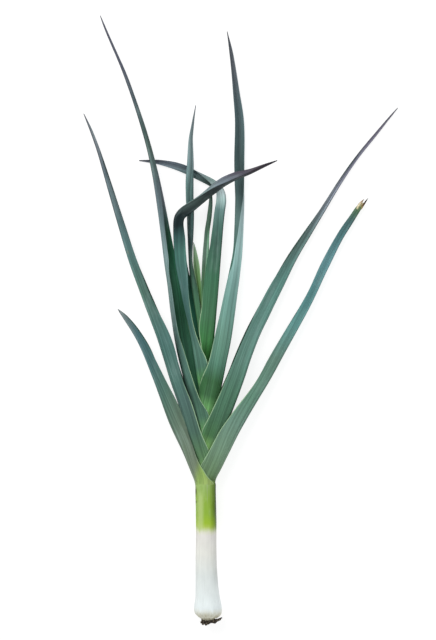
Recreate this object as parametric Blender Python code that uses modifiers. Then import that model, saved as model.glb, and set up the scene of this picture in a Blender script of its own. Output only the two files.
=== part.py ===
"""A fresh leek lying on a flat surface, roots towards -Y and leaf tips towards +Y.

The pieces are the shank, which is the solid bundle of leaf sheaths with its bulb, the root plate,
the trimmed roots, and eleven leaves: five to each side and the young heart leaf. The leaves leave
the collar as rings, one inside the other. Each ring opens on one side, its fold (the keel) moves
out from the plant's axis, and the ring becomes a folded blade.

Lengths in the tables are millimetres: x across, y along the plant from the root ends, z up.
"""

import math

import bpy
import numpy as np

MM = 0.001

# Shank, turned about the plant's axis
SHANK_RADIUS = 14.3
BULB_RADIUS = 20.0
BULB_WIDEST = 27.0  # y of the bulb's largest radius
SHANK_BASE = 13.0  # y of the bulb's underside
COLLAR = 200.0  # y where the leaves leave the shank
SHANK_LEAN = 0.63  # degrees that the shank leans in plan, towards +X at its root end
REST_CUT = 0.5  # depth of the flat that the bulb rests on
AXIS_HEIGHT = BULB_RADIUS - REST_CUT
SHANK_STEPS = 36
SHANK_PROFILE = [  # (radius, y), from the root end to the collar
    (8.5, SHANK_BASE),
    (13.5, 14.2),
    (17.2, 17.2),
    (19.3, 21.5),
    (BULB_RADIUS, BULB_WIDEST),
    (19.6, 32.0),
    (18.4, 39.0),
    (16.7, 49.0),
    (15.4, 62.0),
    (14.6, 82.0),
    (14.2, 110.0),
    (14.2, 150.0),
    (SHANK_RADIUS, 190.0),
    (SHANK_RADIUS, COLLAR),
]

# Root plate and roots
GAP = 0.3
PLATE_RADIUS = 8.2
PLATE_LENGTH = 4.6
PLATE_BEVEL = 1.3
ROOT_RADIUS = 0.9
ROOT_TAPER = 0.35  # share of its radius that a root loses towards its cut end
ROOT_STEPS = 5
ROOT_GAP = 0.5
ROOT_DROP = 4.5  # how far a root runs straight out before it bends
ROOTS = [  # (angle about the axis in degrees, start radius, end x, end y, end z above the axis)
    (0, 5.6, 23.5, 11.0, -2.0),
    (24, 4.2, 18.0, 5.5, 5.0),
    (70, 5.2, 9.0, 3.0, 7.0),
    (115, 4.6, -1.5, 1.2, 7.5),
    (150, 5.8, -8.5, 3.2, 5.0),
    (185, 5.4, -11.0, 5.0, -1.0),
    (222, 5.6, -7.0, 1.5, -6.0),
    (262, 5.0, 0.5, 0.6, -8.0),
    (300, 5.8, 8.0, 1.8, -7.5),
    (335, 4.6, 14.5, 3.4, -5.5),
    (45, 1.6, 6.0, 0.6, 2.0),
    (200, 1.8, -3.5, 1.8, -0.5),
]

# Leaves
LEAF_THICKNESS = 0.75
RING_RADIUS = 13.45  # of the outermost leaf's ring, to the middle of its thickness
RING_PITCH = 1.3  # from one ring to the next one inside it
LEAF_BASE = COLLAR + GAP
DROOP = 5.5  # how far the fan of leaves sinks below the shank's axis
DROOP_LENGTH = 200.0
FLOOR_GAP = 0.6
OPEN_RUN = 1000.0  # longer than any half width, so that an open section never bends back
TRIAL_HEIGHT = 100.0  # well above the surface, to find how far a section reaches below its keel
REST = None  # as a lift: the blade lies on the surface

# One row for each station of a leaf, from the collar to the tip:
# (y, distance of the keel from the axis, its lift above the fan's middle height or REST,
#  half width of the blade, half angle of the fold, roll of the blade about its length, keel radius)
# A positive roll turns the inside of the fold up, a negative one turns the keel up.
LEAVES = {
    "leaf_left_1": dict(side=-1, ring=0, free=(212, 262), across=9, stations=[
        (LEAF_BASE, 13.0, 3.0, 28.0, 20, -12, 12.0),
        (204, 15.6, 4.0, 25.0, 20, -14, 10.0),
        (211, 18.6, 5.0, 23.0, 20, -16, 8.0),
        (221, 22.8, 6.0, 20.0, 24, -24, 6.5),
        (248, 33.8, 7.5, 17.5, 30, -45, 5.0),
        (283, 49.6, 7.5, 17.0, 33, -52, 4.0),
        (319, 63.8, 3.0, 17.0, 34, -30, 3.5),
        (356, 78.0, REST, 16.5, 34, -8, 3.0),
        (384, 89.5, REST, 14.5, 34, 3, 2.5),
        (406, 101.0, REST, 12.0, 34, 4, 2.0),
        (428, 115.0, REST, 7.5, 32, 4, 1.5),
        (440, 122.6, REST, 1.0, 30, 3, 0.5),
    ]),
    "leaf_right_1": dict(side=1, ring=1, free=(226, 285), across=10, stations=[
        (LEAF_BASE, 12.2, 0.0, 31.0, 10, -4, 11.0),
        (205, 13.8, 1.0, 31.5, 10, -5, 10.5),
        (212, 17.8, 2.0, 32.5, 10, -7, 10.0),
        (220, 22.1, 3.0, 32.4, 10, -9, 9.5),
        (226, 25.0, 3.5, 31.6, 10, -10, 9.3),
        (234, 29.0, 4.0, 31.2, 10, -12, 9.2),
        (241, 32.5, 5.0, 31.0, 10, -15, 9.0),
        (270, 47.0, 6.0, 28.5, 14, -20, 8.0),
        (294, 60.5, 6.0, 26.0, 18, -22, 7.0),
        (319, 75.5, 5.5, 24.0, 22, -22, 6.0),
        (350, 94.0, REST, 22.0, 26, -20, 5.0),
        (384, 112.5, REST, 20.0, 28, -18, 4.5),
        (417, 131.0, REST, 18.5, 30, -15, 4.0),
        (451, 149.0, REST, 16.5, 30, -12, 3.5),
        (496, 170.0, REST, 14.5, 30, -10, 3.0),
        (540, 192.0, REST, 12.5, 28, -10, 2.5),
        (560, 204.5, REST, 11.0, 27, -9, 2.2),
        (576, 214.8, REST, 8.5, 26, -8, 2.0),
        (588, 221.5, REST, 5.5, 24, -8, 1.5),
        (594, 225.0, REST, 2.4, 24, -8, 0.8),
    ]),
    "leaf_left_2": dict(side=-1, ring=2, free=(252, 310), across=9, stations=[
        (LEAF_BASE, 10.8, 0.0, 22.5, 18, 0, 10.0),
        (226, 10.9, 0.0, 22.5, 18, 0, 9.5),
        (242, 16.5, 0.0, 24.8, 18, 0, 7.5),
        (253, 20.1, 0.0, 25.1, 18, 0, 7.0),
        (266, 24.5, 0.0, 24.0, 18, 0, 6.5),
        (288, 31.5, 0.0, 22.8, 20, 0, 5.5),
        (310, 38.5, 0.0, 22.0, 22, 0, 5.0),
        (342, 49.5, -0.5, 21.0, 26, 2, 4.0),
        (370, 58.0, REST, 20.5, 29, 4, 3.7),
        (400, 67.5, REST, 19.5, 30, 4, 3.5),
        (440, 82.5, REST, 17.0, 31, 4, 3.0),
        (470, 93.5, REST, 15.0, 31, 4, 2.7),
        (505, 106.2, REST, 13.0, 31, 4, 2.5),
        (555, 121.2, REST, 11.0, 30, 3, 2.0),
        (610, 137.0, REST, 8.5, 28, 2, 1.8),
        (664, 152.3, REST, 5.0, 26, 0, 1.2),
        (692, 161.8, REST, 2.8, 24, 0, 0.8),
        (713, 170.5, REST, 0.8, 24, 0, 0.5),
    ]),
    "leaf_right_2": dict(side=1, ring=3, free=(282, 345), across=9, stations=[
        (LEAF_BASE, 9.5, 0.0, 20.5, 14, 0, 9.0),
        (230, 9.5, 0.0, 20.5, 14, 0, 8.5),
        (245, 15.8, 0.0, 26.0, 14, 0, 6.5),
        (256, 20.5, 0.0, 28.5, 14, 0, 6.0),
        (267, 25.0, 0.0, 30.5, 14, 0, 5.5),
        (278, 29.2, 0.0, 30.2, 14, 0, 5.3),
        (291, 34.0, 0.0, 31.5, 14, 0, 5.0),
        (313, 42.5, 0.0, 29.5, 17, 0, 4.5),
        (342, 53.0, 0.0, 27.5, 22, 0, 4.0),
        (370, 62.2, 0.0, 26.0, 25, 0, 3.7),
        (400, 73.5, REST, 24.5, 28, 0, 3.3),
        (430, 87.6, REST, 23.0, 30, 0, 3.0),
        (473, 108.6, REST, 19.5, 30, 2, 3.0),
        (510, 127.8, REST, 15.8, 30, 2, 2.6),
        (545, 149.2, REST, 12.0, 28, 1, 2.2),
        (580, 169.8, REST, 9.0, 25, 0, 2.0),
        (615, 190.6, REST, 7.0, 22, 0, 1.6),
        (652, 214.8, REST, 5.2, 20, 0, 1.3),
        (686, 240.5, REST, 3.4, 20, 0, 1.0),
        (720, 266.5, REST, 0.8, 20, 0, 0.5),
    ]),
    "leaf_left_3": dict(side=-1, ring=4, free=(300, 360), across=8, stations=[
        (LEAF_BASE, 8.2, 0.0, 16.5, 20, 0, 7.5),
        (263, 8.2, 0.0, 16.5, 20, 0, 7.0),
        (277, 12.2, 0.0, 19.5, 20, 0, 6.0),
        (291, 16.5, 0.0, 22.8, 20, 0, 5.0),
        (300, 18.9, 0.0, 22.7, 21, 0, 4.7),
        (310, 21.5, 0.0, 20.5, 22, 3, 4.5),
        (330, 27.5, -1.0, 19.0, 26, 10, 4.0),
        (352, 32.5, -4.0, 18.5, 30, 20, 3.5),
        (379, 38.8, -8.0, 18.5, 33, 30, 3.0),
        (407, 44.0, REST, 18.5, 35, 36, 2.5),
        (434, 47.6, REST, 18.5, 36, 36, 2.5),
        (470, 52.0, REST, 18.0, 36, 33, 2.5),
        (508, 57.6, REST, 16.5, 35, 28, 2.5),
        (545, 62.2, -7.0, 14.2, 34, 24, 2.4),
        (580, 66.8, -3.0, 12.4, 33, 16, 2.2),
        (619, 72.6, 0.0, 10.5, 31, 6, 2.0),
        (650, 78.6, 0.5, 9.2, 30, 0, 1.8),
        (685, 87.4, -1.0, 7.8, 29, 0, 1.7),
        (731, 101.5, -5.0, 6.0, 27, 0, 1.5),
        (770, 115.0, REST, 4.6, 26, 0, 1.3),
        (806, 130.0, REST, 3.2, 26, 0, 1.0),
        (830, 140.0, REST, 2.2, 26, 0, 0.8),
        (850, 147.5, REST, 0.8, 26, 0, 0.4),
    ]),
    "leaf_right_3": dict(side=1, ring=5, free=(345, 410), across=8, stations=[
        (LEAF_BASE, 6.95, 0.0, 14.0, 12, 0, 6.5),
        (266, 6.95, 0.0, 14.0, 12, 0, 6.0),
        (280, 9.6, 0.0, 17.0, 12, 0, 5.6),
        (295, 13.2, 0.0, 21.0, 12, 0, 5.0),
        (312, 17.0, 0.0, 24.5, 12, 0, 4.5),
        (330, 21.0, 0.0, 26.6, 12, 0, 4.0),
        (338, 22.7, 0.0, 27.1, 12, 0, 4.0),
        (346, 24.4, 0.0, 27.8, 12, 0, 4.0),
        (363, 27.8, 0.0, 27.4, 12, 0, 4.0),
        (398, 35.0, 0.0, 25.8, 16, 0, 3.5),
        (428, 39.4, 0.0, 23.6, 22, 0, 3.0),
        (461, 43.6, 0.0, 20.6, 28, 3, 3.0),
        (490, 47.4, 0.0, 17.5, 30, 7, 2.9),
        (520, 50.6, -3.0, 14.6, 31, 18, 2.7),
        (550, 52.0, REST, 13.0, 33, 36, 2.5),
        (592, 52.6, REST, 12.0, 36, 60, 2.5),
        (620, 50.6, REST, 11.4, 38, 78, 2.4),
        (650, 48.2, REST, 10.8, 40, 88, 2.2),
        (700, 47.2, REST, 9.0, 42, 90, 2.0),
        (745, 42.6, REST, 6.5, 40, 88, 1.6),
        (775, 39.0, REST, 4.8, 38, 88, 1.3),
        (800, 35.4, REST, 3.3, 38, 88, 1.1),
        (828, 30.0, REST, 0.8, 36, 88, 0.4),
    ]),
    "leaf_left_4": dict(side=-1, ring=6, free=(364, 404), across=7, stations=[
        (LEAF_BASE, 5.65, 0.0, 11.5, 24, 0, 5.0),
        (322, 5.65, 0.0, 11.5, 24, 0, 4.6),
        (336, 7.2, 0.0, 12.8, 24, 0, 4.0),
        (352, 9.6, 0.0, 15.0, 24, 0, 3.4),
        (368, 12.2, -0.5, 17.0, 26, 3, 3.0),
        (390, 16.8, -2.0, 17.0, 30, 14, 2.6),
        (412, 22.0, -3.5, 17.0, 33, 22, 2.5),
        (440, 28.6, -3.5, 17.3, 34, 24, 2.5),
        (472, 35.4, 0.0, 17.5, 35, 15, 2.5),
        (510, 42.6, 4.0, 18.0, 34, 8, 2.5),
        (545, 44.8, 7.0, 18.0, 33, -3, 2.5),
        (566, 44.6, 10.0, 17.0, 33, -8, 2.5),
        (580, 40.4, 14.0, 16.0, 33, -14, 2.5),
        (590, 31.0, 19.0, 15.5, 33, -30, 2.5),
        (597, 18.5, 22.0, 15.0, 33, -55, 2.5),
        (604, 3.0, 23.5, 14.0, 34, -78, 2.4),
        (611, -12.0, 23.0, 13.0, 35, -95, 2.2),
        (618, -28.0, 21.0, 11.5, 36, -105, 2.0),
        (624.5, -43.0, 18.0, 9.5, 36, -108, 1.8),
        (632, -62.0, 14.0, 6.5, 34, -102, 1.5),
        (641, -82.0, 11.0, 3.6, 32, -95, 1.0),
        (648, -99.4, 9.0, 0.8, 30, -90, 0.4),
    ]),
    "leaf_right_4": dict(side=1, ring=7, free=(357, 398), across=7, stations=[
        (LEAF_BASE, 4.35, 0.0, 8.0, 6, 0, 4.0),
        (336, 4.35, 0.0, 8.0, 6, 0, 3.8),
        (352, 6.0, 0.0, 8.6, 4, 0, 3.6),
        (370, 8.0, 0.0, 10.4, 4, 0, 3.4),
        (390, 10.2, 0.0, 14.6, 4, 0, 3.2),
        (412, 12.4, 0.0, 18.6, 6, 0, 3.0),
        (440, 14.8, 0.5, 21.5, 10, 0, 3.0),
        (474, 17.6, 0.5, 21.0, 15, 0, 3.0),
        (510, 20.4, 0.5, 19.0, 21, -3, 3.0),
        (552, 23.8, 0.5, 16.5, 27, -8, 2.8),
        (576, 26.2, 0.5, 15.5, 31, -15, 2.5),
        (592, 28.2, 0.5, 14.5, 34, -20, 2.5),
        (604, 26.6, 0.0, 13.5, 34, -14, 2.5),
        (614, 20.4, -1.5, 12.5, 33, 0, 2.4),
        (622, 9.8, -3.5, 11.5, 33, 14, 2.2),
        (628.5, -1.6, -6.0, 10.5, 34, 30, 2.0),
        (634, -14.0, -9.0, 9.6, 36, 52, 2.0),
        (638.5, -29.0, REST, 8.6, 38, 78, 1.8),
        (643.5, -48.0, REST, 6.8, 42, 88, 1.5),
        (648, -69.0, REST, 4.2, 42, 88, 1.2),
        (650, -92.4, REST, 0.8, 40, 88, 0.4),
    ]),
    "leaf_left_5": dict(side=-1, ring=8, free=(390, 440), across=6, stations=[
        (LEAF_BASE, 3.05, 0.0, 6.2, 25, 0, 2.8),
        (344, 3.05, 0.0, 6.2, 25, 0, 2.6),
        (370, 4.8, 0.0, 7.0, 10, 0, 2.1),
        (400, 8.4, 0.0, 8.6, 6, 0, 1.9),
        (430, 13.0, 0.0, 8.6, 10, 0, 2.0),
        (453, 17.0, 0.4, 7.5, 10, -12, 1.8),
        (480, 20.6, 1.0, 7.2, 12, -45, 1.5),
        (507, 22.3, 1.5, 7.2, 12, -76, 1.2),
        (530, 22.0, 1.5, 7.0, 22, -85, 1.4),
        (550, 21.8, 1.5, 7.0, 34, -85, 1.6),
        (572, 22.2, 1.5, 7.2, 42, -80, 1.8),
        (600, 24.0, 2.0, 7.5, 46, -72, 1.8),
        (622, 22.4, 5.0, 7.2, 47, -92, 1.8),
        (645, 20.4, 4.5, 6.2, 46, -105, 1.6),
        (675, 20.4, -0.5, 4.4, 42, -105, 1.4),
        (700, 18.0, -5.0, 2.5, 36, -90, 1.0),
        (725, 14.0, -9.0, 0.8, 34, -86, 0.4),
    ]),
    "leaf_right_5": dict(side=1, ring=9, free=(420, 470), across=5, stations=[
        (LEAF_BASE, 1.75, 0.0, 3.4, 20, 0, 1.6),
        (400, 1.75, 0.0, 3.4, 20, 0, 1.6),
        (436, 1.9, 0.5, 4.6, 20, 8, 1.5),
        (472, 2.4, 0.5, 6.2, 22, 16, 1.5),
        (510, 3.2, 0.0, 6.8, 26, 24, 1.4),
        (542, 4.0, 0.0, 6.6, 28, 12, 1.4),
        (566, 5.2, 0.5, 6.4, 28, 4, 1.4),
        (586, 6.8, 0.5, 5.8, 28, 0, 1.3),
        (598, 6.8, 0.0, 4.0, 28, 0, 1.1),
        (609, 5.6, 0.0, 0.8, 28, 0, 0.4),
    ]),
    "heart_leaf": dict(side=-1, ring=9, free=(0, 1), across=4, stations=[
        (430, 5.8, -0.8, 2.0, 26, 30, 0.8),
        (456, 7.6, -1.8, 3.4, 30, 62, 1.0),
        (480, 10.0, -2.4, 5.0, 40, 78, 1.2),
        (500, 13.0, -2.4, 6.0, 44, 86, 1.2),
        (514, 14.6, -2.0, 4.4, 42, 84, 1.0),
        (526, 16.0, -1.0, 2.4, 38, 80, 0.7),
        (533, 17.0, -0.5, 0.8, 34, 76, 0.4),
    ]),
}

# Materials: (colour, roughness)
COLOURS = {
    "shank": ((0.74, 0.80, 0.60), 0.4),
    "root_plate": ((0.55, 0.50, 0.30), 0.7),
    "root": ((0.10, 0.07, 0.05), 0.85),
    "leaf": ((0.09, 0.20, 0.16), 0.45),
    "heart_leaf": ((0.30, 0.45, 0.12), 0.45),
}


def clear_scene():
    for thing in list(bpy.data.objects):
        bpy.data.objects.remove(thing, do_unlink=True)


def new_collection(name):
    made = bpy.data.collections.new(name)
    bpy.context.scene.collection.children.link(made)
    return made


def material(name):
    colour, roughness = COLOURS[name]
    made = bpy.data.materials.new(name)
    made.use_nodes = True
    shader = made.node_tree.nodes["Principled BSDF"]
    shader.inputs["Base Color"].default_value = (*colour, 1.0)
    shader.inputs["Roughness"].default_value = roughness
    shader.inputs["Metallic"].default_value = 0.0
    return made


def add(collection, name, data, finish, parent=None):
    thing = bpy.data.objects.new(name, data)
    collection.objects.link(thing)
    thing.parent = parent
    if finish:
        data.materials.append(finish)
    return thing


def turned(collection, name, profile, finish, parent):
    """A solid of revolution about the plant's axis. Its profile is (radius, y), root end first."""
    points = [(0.0, profile[0][1])] + profile + [(0.0, profile[-1][1])]
    mesh = bpy.data.meshes.new(name)
    verts = [(radius * MM, 0.0, y * MM) for radius, y in reversed(points)]
    edges = [(i, i + 1) for i in range(len(verts) - 1)]
    mesh.from_pydata(verts, edges, [])
    solid = add(collection, name, mesh, finish, parent)
    solid.location = (0.0, 0.0, AXIS_HEIGHT * MM)
    solid.rotation_euler = (-math.pi / 2, 0.0, 0.0)
    screw = solid.modifiers.new("turn", "SCREW")
    screw.steps = screw.render_steps = SHANK_STEPS
    screw.use_merge_vertices = True
    screw.merge_threshold = 0.00001
    screw.use_smooth_shade = True
    return solid


def rest_flat(solid, cutters, parent):
    """Cuts the narrow flat that the bulb rests on."""
    size = 4 * BULB_RADIUS * MM
    bpy.ops.mesh.primitive_cube_add(size=size)
    cutter = bpy.context.object
    cutter.name = "rest_cutter"
    for owner in list(cutter.users_collection):
        owner.objects.unlink(cutter)
    cutters.objects.link(cutter)
    cutter.parent = parent
    cutter.location = (0.0, BULB_WIDEST * MM, -size / 2)
    cutter.hide_render = True
    cutter.display_type = "WIRE"
    cut = solid.modifiers.new("rest_flat", "BOOLEAN")
    cut.operation = "DIFFERENCE"
    cut.object = cutter


def root_stub(collection, name, spec, finish, parent):
    """One trimmed root: a short tube that bends away from the root plate."""
    angle, start_radius, end_x, end_y, end_z = spec
    angle = math.radians(angle)
    start = np.array([
        start_radius * math.cos(angle),
        SHANK_BASE - GAP - PLATE_LENGTH - ROOT_GAP,
        start_radius * math.sin(angle),
    ])
    end = np.array([end_x, end_y, end_z])
    knee = np.array([start[0], start[1] - ROOT_DROP, start[2]])
    curve = bpy.data.curves.new(name, "CURVE")
    curve.dimensions = "3D"
    curve.bevel_depth = ROOT_RADIUS * MM
    curve.bevel_resolution = 1
    curve.use_fill_caps = True
    spline = curve.splines.new("POLY")
    spline.points.add(ROOT_STEPS)
    for i in range(ROOT_STEPS + 1):
        t = i / ROOT_STEPS
        place = (1 - t) ** 2 * start + 2 * t * (1 - t) * knee + t * t * end
        spline.points[i].co = (*(place * MM), 1.0)
        spline.points[i].radius = 1.0 - ROOT_TAPER * t
    tube = add(collection, name, curve, finish, parent)
    tube.location = (0.0, 0.0, AXIS_HEIGHT * MM)
    return tube


def smoothstep(low, high, value):
    t = min(1.0, max(0.0, (value - low) / (high - low)))
    return t * t * (3 - 2 * t)


def fan_height(y):
    """Height of the fan's middle: the shank's axis, which sinks past the collar."""
    return AXIS_HEIGHT - DROOP * min(1.0, max(0.0, (y - COLLAR) / DROOP_LENGTH))


def fold_profile(distances, radius, fold, straight, curl):
    """Points of one half of a folded section, as (along the opening, across it), keel at the origin.

    From the keel it runs round the fold's radius, then straight for a length, and past that it
    bends back towards the middle with the curvature curl.
    """
    turn = math.pi / 2 - fold
    bend = radius * turn
    found = []
    for u in distances:
        if u <= bend:
            angle = u / radius
            found.append((radius - radius * math.cos(angle), radius * math.sin(angle)))
            continue
        x = radius - radius * math.cos(turn)
        y = radius * math.sin(turn)
        run = min(u - bend, straight)
        x += run * math.cos(fold)
        y += run * math.sin(fold)
        rest = u - bend - run
        if rest > 0 and curl * rest > 1e-6:
            heading = fold - curl * rest
            x += (math.sin(fold) - math.sin(heading)) / curl
            y += (math.cos(heading) - math.cos(fold)) / curl
        elif rest > 0:
            x += rest * math.cos(fold)
            y += rest * math.sin(fold)
        found.append((x, y))
    return found


def section(leaf, row, heading, fractions):
    """World points (mm) of one station of a leaf, from its front margin over the keel to the back."""
    y, out, height, half_width, fold, roll, keel_radius = row
    side = leaf["side"]
    ring = RING_RADIUS - RING_PITCH * leaf["ring"]
    free = smoothstep(*leaf["free"], y)
    normal = (1 - free) * np.array([0.0, 1.0]) + free * heading
    normal /= np.linalg.norm(normal)
    inward = np.array([-side * normal[1], side * normal[0]])
    fold, roll = math.radians(fold), math.radians(roll)
    centre = np.array([0.0, fan_height(y)])
    keel = np.array([side * out, height])
    away = keel - centre
    reach = np.linalg.norm(away)
    if free < 1 and reach < ring:
        keel = centre + away * ring / reach
        away, reach = keel - centre, ring
    opening = free * np.array([math.cos(roll), math.sin(roll)])
    opening += (1 - free) * np.array([-away[0] * inward[0], -away[1]]) / reach
    opening /= np.linalg.norm(opening)
    keel_radius = min(keel_radius, ring if free < 1 else keel_radius)
    between = max(reach - keel_radius, ring - keel_radius + 1e-6)
    wrapped = math.asin(min(1.0, (ring - keel_radius) / between))
    straight = math.sqrt(max(0.0, between**2 - (ring - keel_radius) ** 2))
    fold = (1 - free) * wrapped + free * fold
    straight = straight + free * OPEN_RUN
    half = fold_profile(
        [half_width * f for f in fractions], keel_radius, fold, straight, (1 - free) / ring
    )
    found = []
    for sign, order in ((1, reversed(half[1:])), (-1, half)):
        for along, across in order:
            flat = along * opening[0] - sign * across * opening[1]
            rise = along * opening[1] + sign * across * opening[0]
            place = np.array([keel[0], y]) + inward * flat
            found.append((place[0], place[1], keel[1] + rise))
    return found


def spread(count):
    """Fractions of the half width: close together at the keel, even further out."""
    return [0.0] + [0.06 + 0.94 * (i / (count - 1)) ** 1.1 for i in range(count)]


def resting(leaf, row, heading, fractions):
    """The keel height at which this station lies on the surface."""
    trial = (row[0], row[1], TRIAL_HEIGHT, *row[3:])
    lowest = min(point[2] for point in section(leaf, trial, heading, fractions))
    return TRIAL_HEIGHT - lowest + FLOOR_GAP + LEAF_THICKNESS / 2


def headings(rows):
    """Unit directions of the keel's route, seen from above, at each row."""
    route = np.array([(row[0], row[1]) for row in rows], float)
    steps = route[1:] - route[:-1]
    lengths = np.linalg.norm(steps, axis=1)
    units = steps / lengths[:, None]
    found = [units[0]]
    for i in range(1, len(route) - 1):
        mixed = units[i - 1] * lengths[i] + units[i] * lengths[i - 1]
        found.append(mixed / np.linalg.norm(mixed))
    found.append(units[-1])
    return np.array(found)


def leaf_surface(leaf):
    """The sections of a leaf's middle surface, from its collar to its tip."""
    rows = leaf["stations"]
    fractions = spread(leaf["across"])
    sections = []
    for row, (along, outward) in zip(rows, headings(rows)):
        heading = np.array([leaf["side"] * outward, along])
        if row[2] is REST:
            height = resting(leaf, row, heading, fractions)
        else:
            height = fan_height(row[0]) + row[2]
        sections.append(section(leaf, (row[0], row[1], height, *row[3:]), heading, fractions))
    return sections


def leaf_object(collection, name, leaf, finish, parent):
    sections = leaf_surface(leaf)
    count = len(sections[0])
    verts = [tuple(np.array(point) * MM) for row in sections for point in row]
    faces = []
    for i in range(len(sections) - 1):
        for j in range(count - 1):
            a = i * count + j
            faces.append((a, a + 1, a + count + 1, a + count))
    mesh = bpy.data.meshes.new(name)
    mesh.from_pydata(verts, [], faces)
    mesh.shade_smooth()
    blade = add(collection, name, mesh, finish, parent)
    wall = blade.modifiers.new("thickness", "SOLIDIFY")
    wall.thickness = LEAF_THICKNESS * MM
    wall.offset = 0.0
    wall.use_even_offset = True
    return blade


def centre_on_origin(frame, collection):
    """Moves the frame so that the bottom centre of the whole leek's box is the origin."""
    bpy.context.view_layer.update()
    graph = bpy.context.evaluated_depsgraph_get()
    low, high = np.full(3, np.inf), np.full(3, -np.inf)
    for thing in collection.objects:
        if thing.type == "EMPTY":
            continue
        solid = thing.evaluated_get(graph)
        mesh = solid.to_mesh()
        for vert in mesh.vertices:
            place = np.array(solid.matrix_world @ vert.co)
            low, high = np.minimum(low, place), np.maximum(high, place)
        solid.to_mesh_clear()
    frame.location = (-(low[0] + high[0]) / 2, -(low[1] + high[1]) / 2, -low[2])
    bpy.context.view_layer.update()


def build():
    clear_scene()
    leek = new_collection("leek")
    cutters = new_collection("cutters")
    finishes = {name: material(name) for name in COLOURS}
    frame = bpy.data.objects.new("leek_frame", None)
    leek.objects.link(frame)
    lean = bpy.data.objects.new("shank_frame", None)
    leek.objects.link(lean)
    lean.parent = frame
    lean.location.x = COLLAR * math.tan(math.radians(SHANK_LEAN)) * MM
    lean.rotation_euler.z = math.radians(SHANK_LEAN)

    shank = turned(leek, "shank", SHANK_PROFILE, finishes["shank"], lean)
    rest_flat(shank, cutters, lean)
    plate_top = SHANK_BASE - GAP
    plate_bottom = plate_top - PLATE_LENGTH
    plate_profile = [
        (PLATE_RADIUS - PLATE_BEVEL, plate_bottom),
        (PLATE_RADIUS, plate_bottom + PLATE_BEVEL),
        (PLATE_RADIUS, plate_top),
    ]
    turned(leek, "root_plate", plate_profile, finishes["root_plate"], lean)
    for number, spec in enumerate(ROOTS, 1):
        root_stub(leek, f"root_{number:02d}", spec, finishes["root"], lean)
    for name, leaf in LEAVES.items():
        finish = finishes["heart_leaf" if name == "heart_leaf" else "leaf"]
        leaf_object(leek, name, leaf, finish, frame)
    centre_on_origin(frame, leek)


build()
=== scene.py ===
"""The look of a fresh leek that lies on a pale surface: shank with bulb, root plate, roots,
ten folded leaves, the young heart leaf and the dried end of one leaf.

Tables are in millimetres, in the plant's own frame: x across from the plant's axis, y along it
from the root ends, z up from the surface.
"""

import math

import bmesh
import bpy
import numpy as np
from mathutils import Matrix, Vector


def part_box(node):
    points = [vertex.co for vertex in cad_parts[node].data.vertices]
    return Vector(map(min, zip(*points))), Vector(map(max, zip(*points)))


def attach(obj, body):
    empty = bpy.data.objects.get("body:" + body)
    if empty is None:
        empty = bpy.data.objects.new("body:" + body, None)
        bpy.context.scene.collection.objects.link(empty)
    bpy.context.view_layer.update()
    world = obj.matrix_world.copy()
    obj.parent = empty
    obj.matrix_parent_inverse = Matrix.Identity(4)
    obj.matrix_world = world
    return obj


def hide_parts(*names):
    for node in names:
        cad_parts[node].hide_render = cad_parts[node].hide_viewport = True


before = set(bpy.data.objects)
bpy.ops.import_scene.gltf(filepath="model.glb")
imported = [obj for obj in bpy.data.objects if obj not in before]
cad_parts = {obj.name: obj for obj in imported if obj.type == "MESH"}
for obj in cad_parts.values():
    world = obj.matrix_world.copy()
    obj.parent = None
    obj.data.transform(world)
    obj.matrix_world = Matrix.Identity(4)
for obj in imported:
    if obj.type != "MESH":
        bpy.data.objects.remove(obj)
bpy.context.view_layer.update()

bl_info = {
    "name": "Leek",
    "version": (1, 0, 0),
    "blender": (4, 5, 0),
    "location": "View3D > Sidebar > Leek",
    "description": "Builds a fresh leek with folded leaves, roots and a studio stage",
    "category": "Object",
}

SHANK_LOW, SHANK_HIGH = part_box("shank")
MM = 0.001

SHANK_BASE = 13.0  # y of the bulb's underside
COLLAR = 200.0  # y where the leaves leave the shank
BULB_SHIFT = 1.9  # how far the bulb's middle lies to the right of the collar's
AXIS_X = (SHANK_LOW.x + SHANK_HIGH.x) / 2 / MM - BULB_SHIFT
ROOT_Y = SHANK_LOW.y / MM - SHANK_BASE
AXIS_Z = 19.5

# Leaves
RING_RADIUS = 13.75
RING_PITCH = 1.3
FAN_START = 240.0  # above this the wrapped leaves open slightly
FAN_GROWTH = 0.035
FAN_LAST = 5  # the last ring that opens so
WIDEST = 45.0  # half width at which the search for a margin ends
EVEN = 0.9  # below 1, the points of a section lie closer together near its margin
ROW_BLEND = 5.5  # length over which a leaf's rows blend into each other
FRONT_BLEND = 25.0  # length over which a solved front margin returns to the row's half width
MARK_STRENGTH = 0.8
VEIN_SPACING = 1.25
DROOP = 5.5
DROOP_LENGTH = 200.0
FLOOR_GAP = 0.5
LIFT_OFF = 0.4  # added to the gap, for the blade's thickness
TRIAL_HEIGHT = 100.0  # height at which a blade that lies on the surface is tried first
BLADE_THINNING = 0.35  # share of its thickness that a blade loses by its tip
KEEL_FADING = 0.6  # share of its height that the keel loses by the tip
MARGIN_SHARE = 0.3  # thickness at the margin as a share of the blade's
MARGIN_ROUND = 2.5  # width over which a blade thins towards its margin
TIP_REACH = 0.6  # how far the tip goes on past the last row, in row spacings
PALE_BEFORE, PALE_AFTER = 15, 35  # the pale rim fades out over this range round its y
WIDTH_TRIES = 181  # widths tried when a margin is searched for
KEEL_TRIES = 4  # of these, the ones at the keel that never count
ENDLESS = 1000.0  # length of the straight part of a half that doesn't curl
REST = None  # as a lift: the blade lies on the surface
# The tables give a leaf as it looks from this eye, in the plane at the sight height.
EYE_X, EYE_Y, EYE_Z = 16.95, 425.0, 2497.0
SIGHT_HEIGHT = 13.0
EYE_BLEND = 60.0  # length above the collar over which the eye's view comes to count in full
CAMERA_X = -0.0308
TOP_SHARE = 0.35  # power of the top light as a share of the key light's

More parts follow.
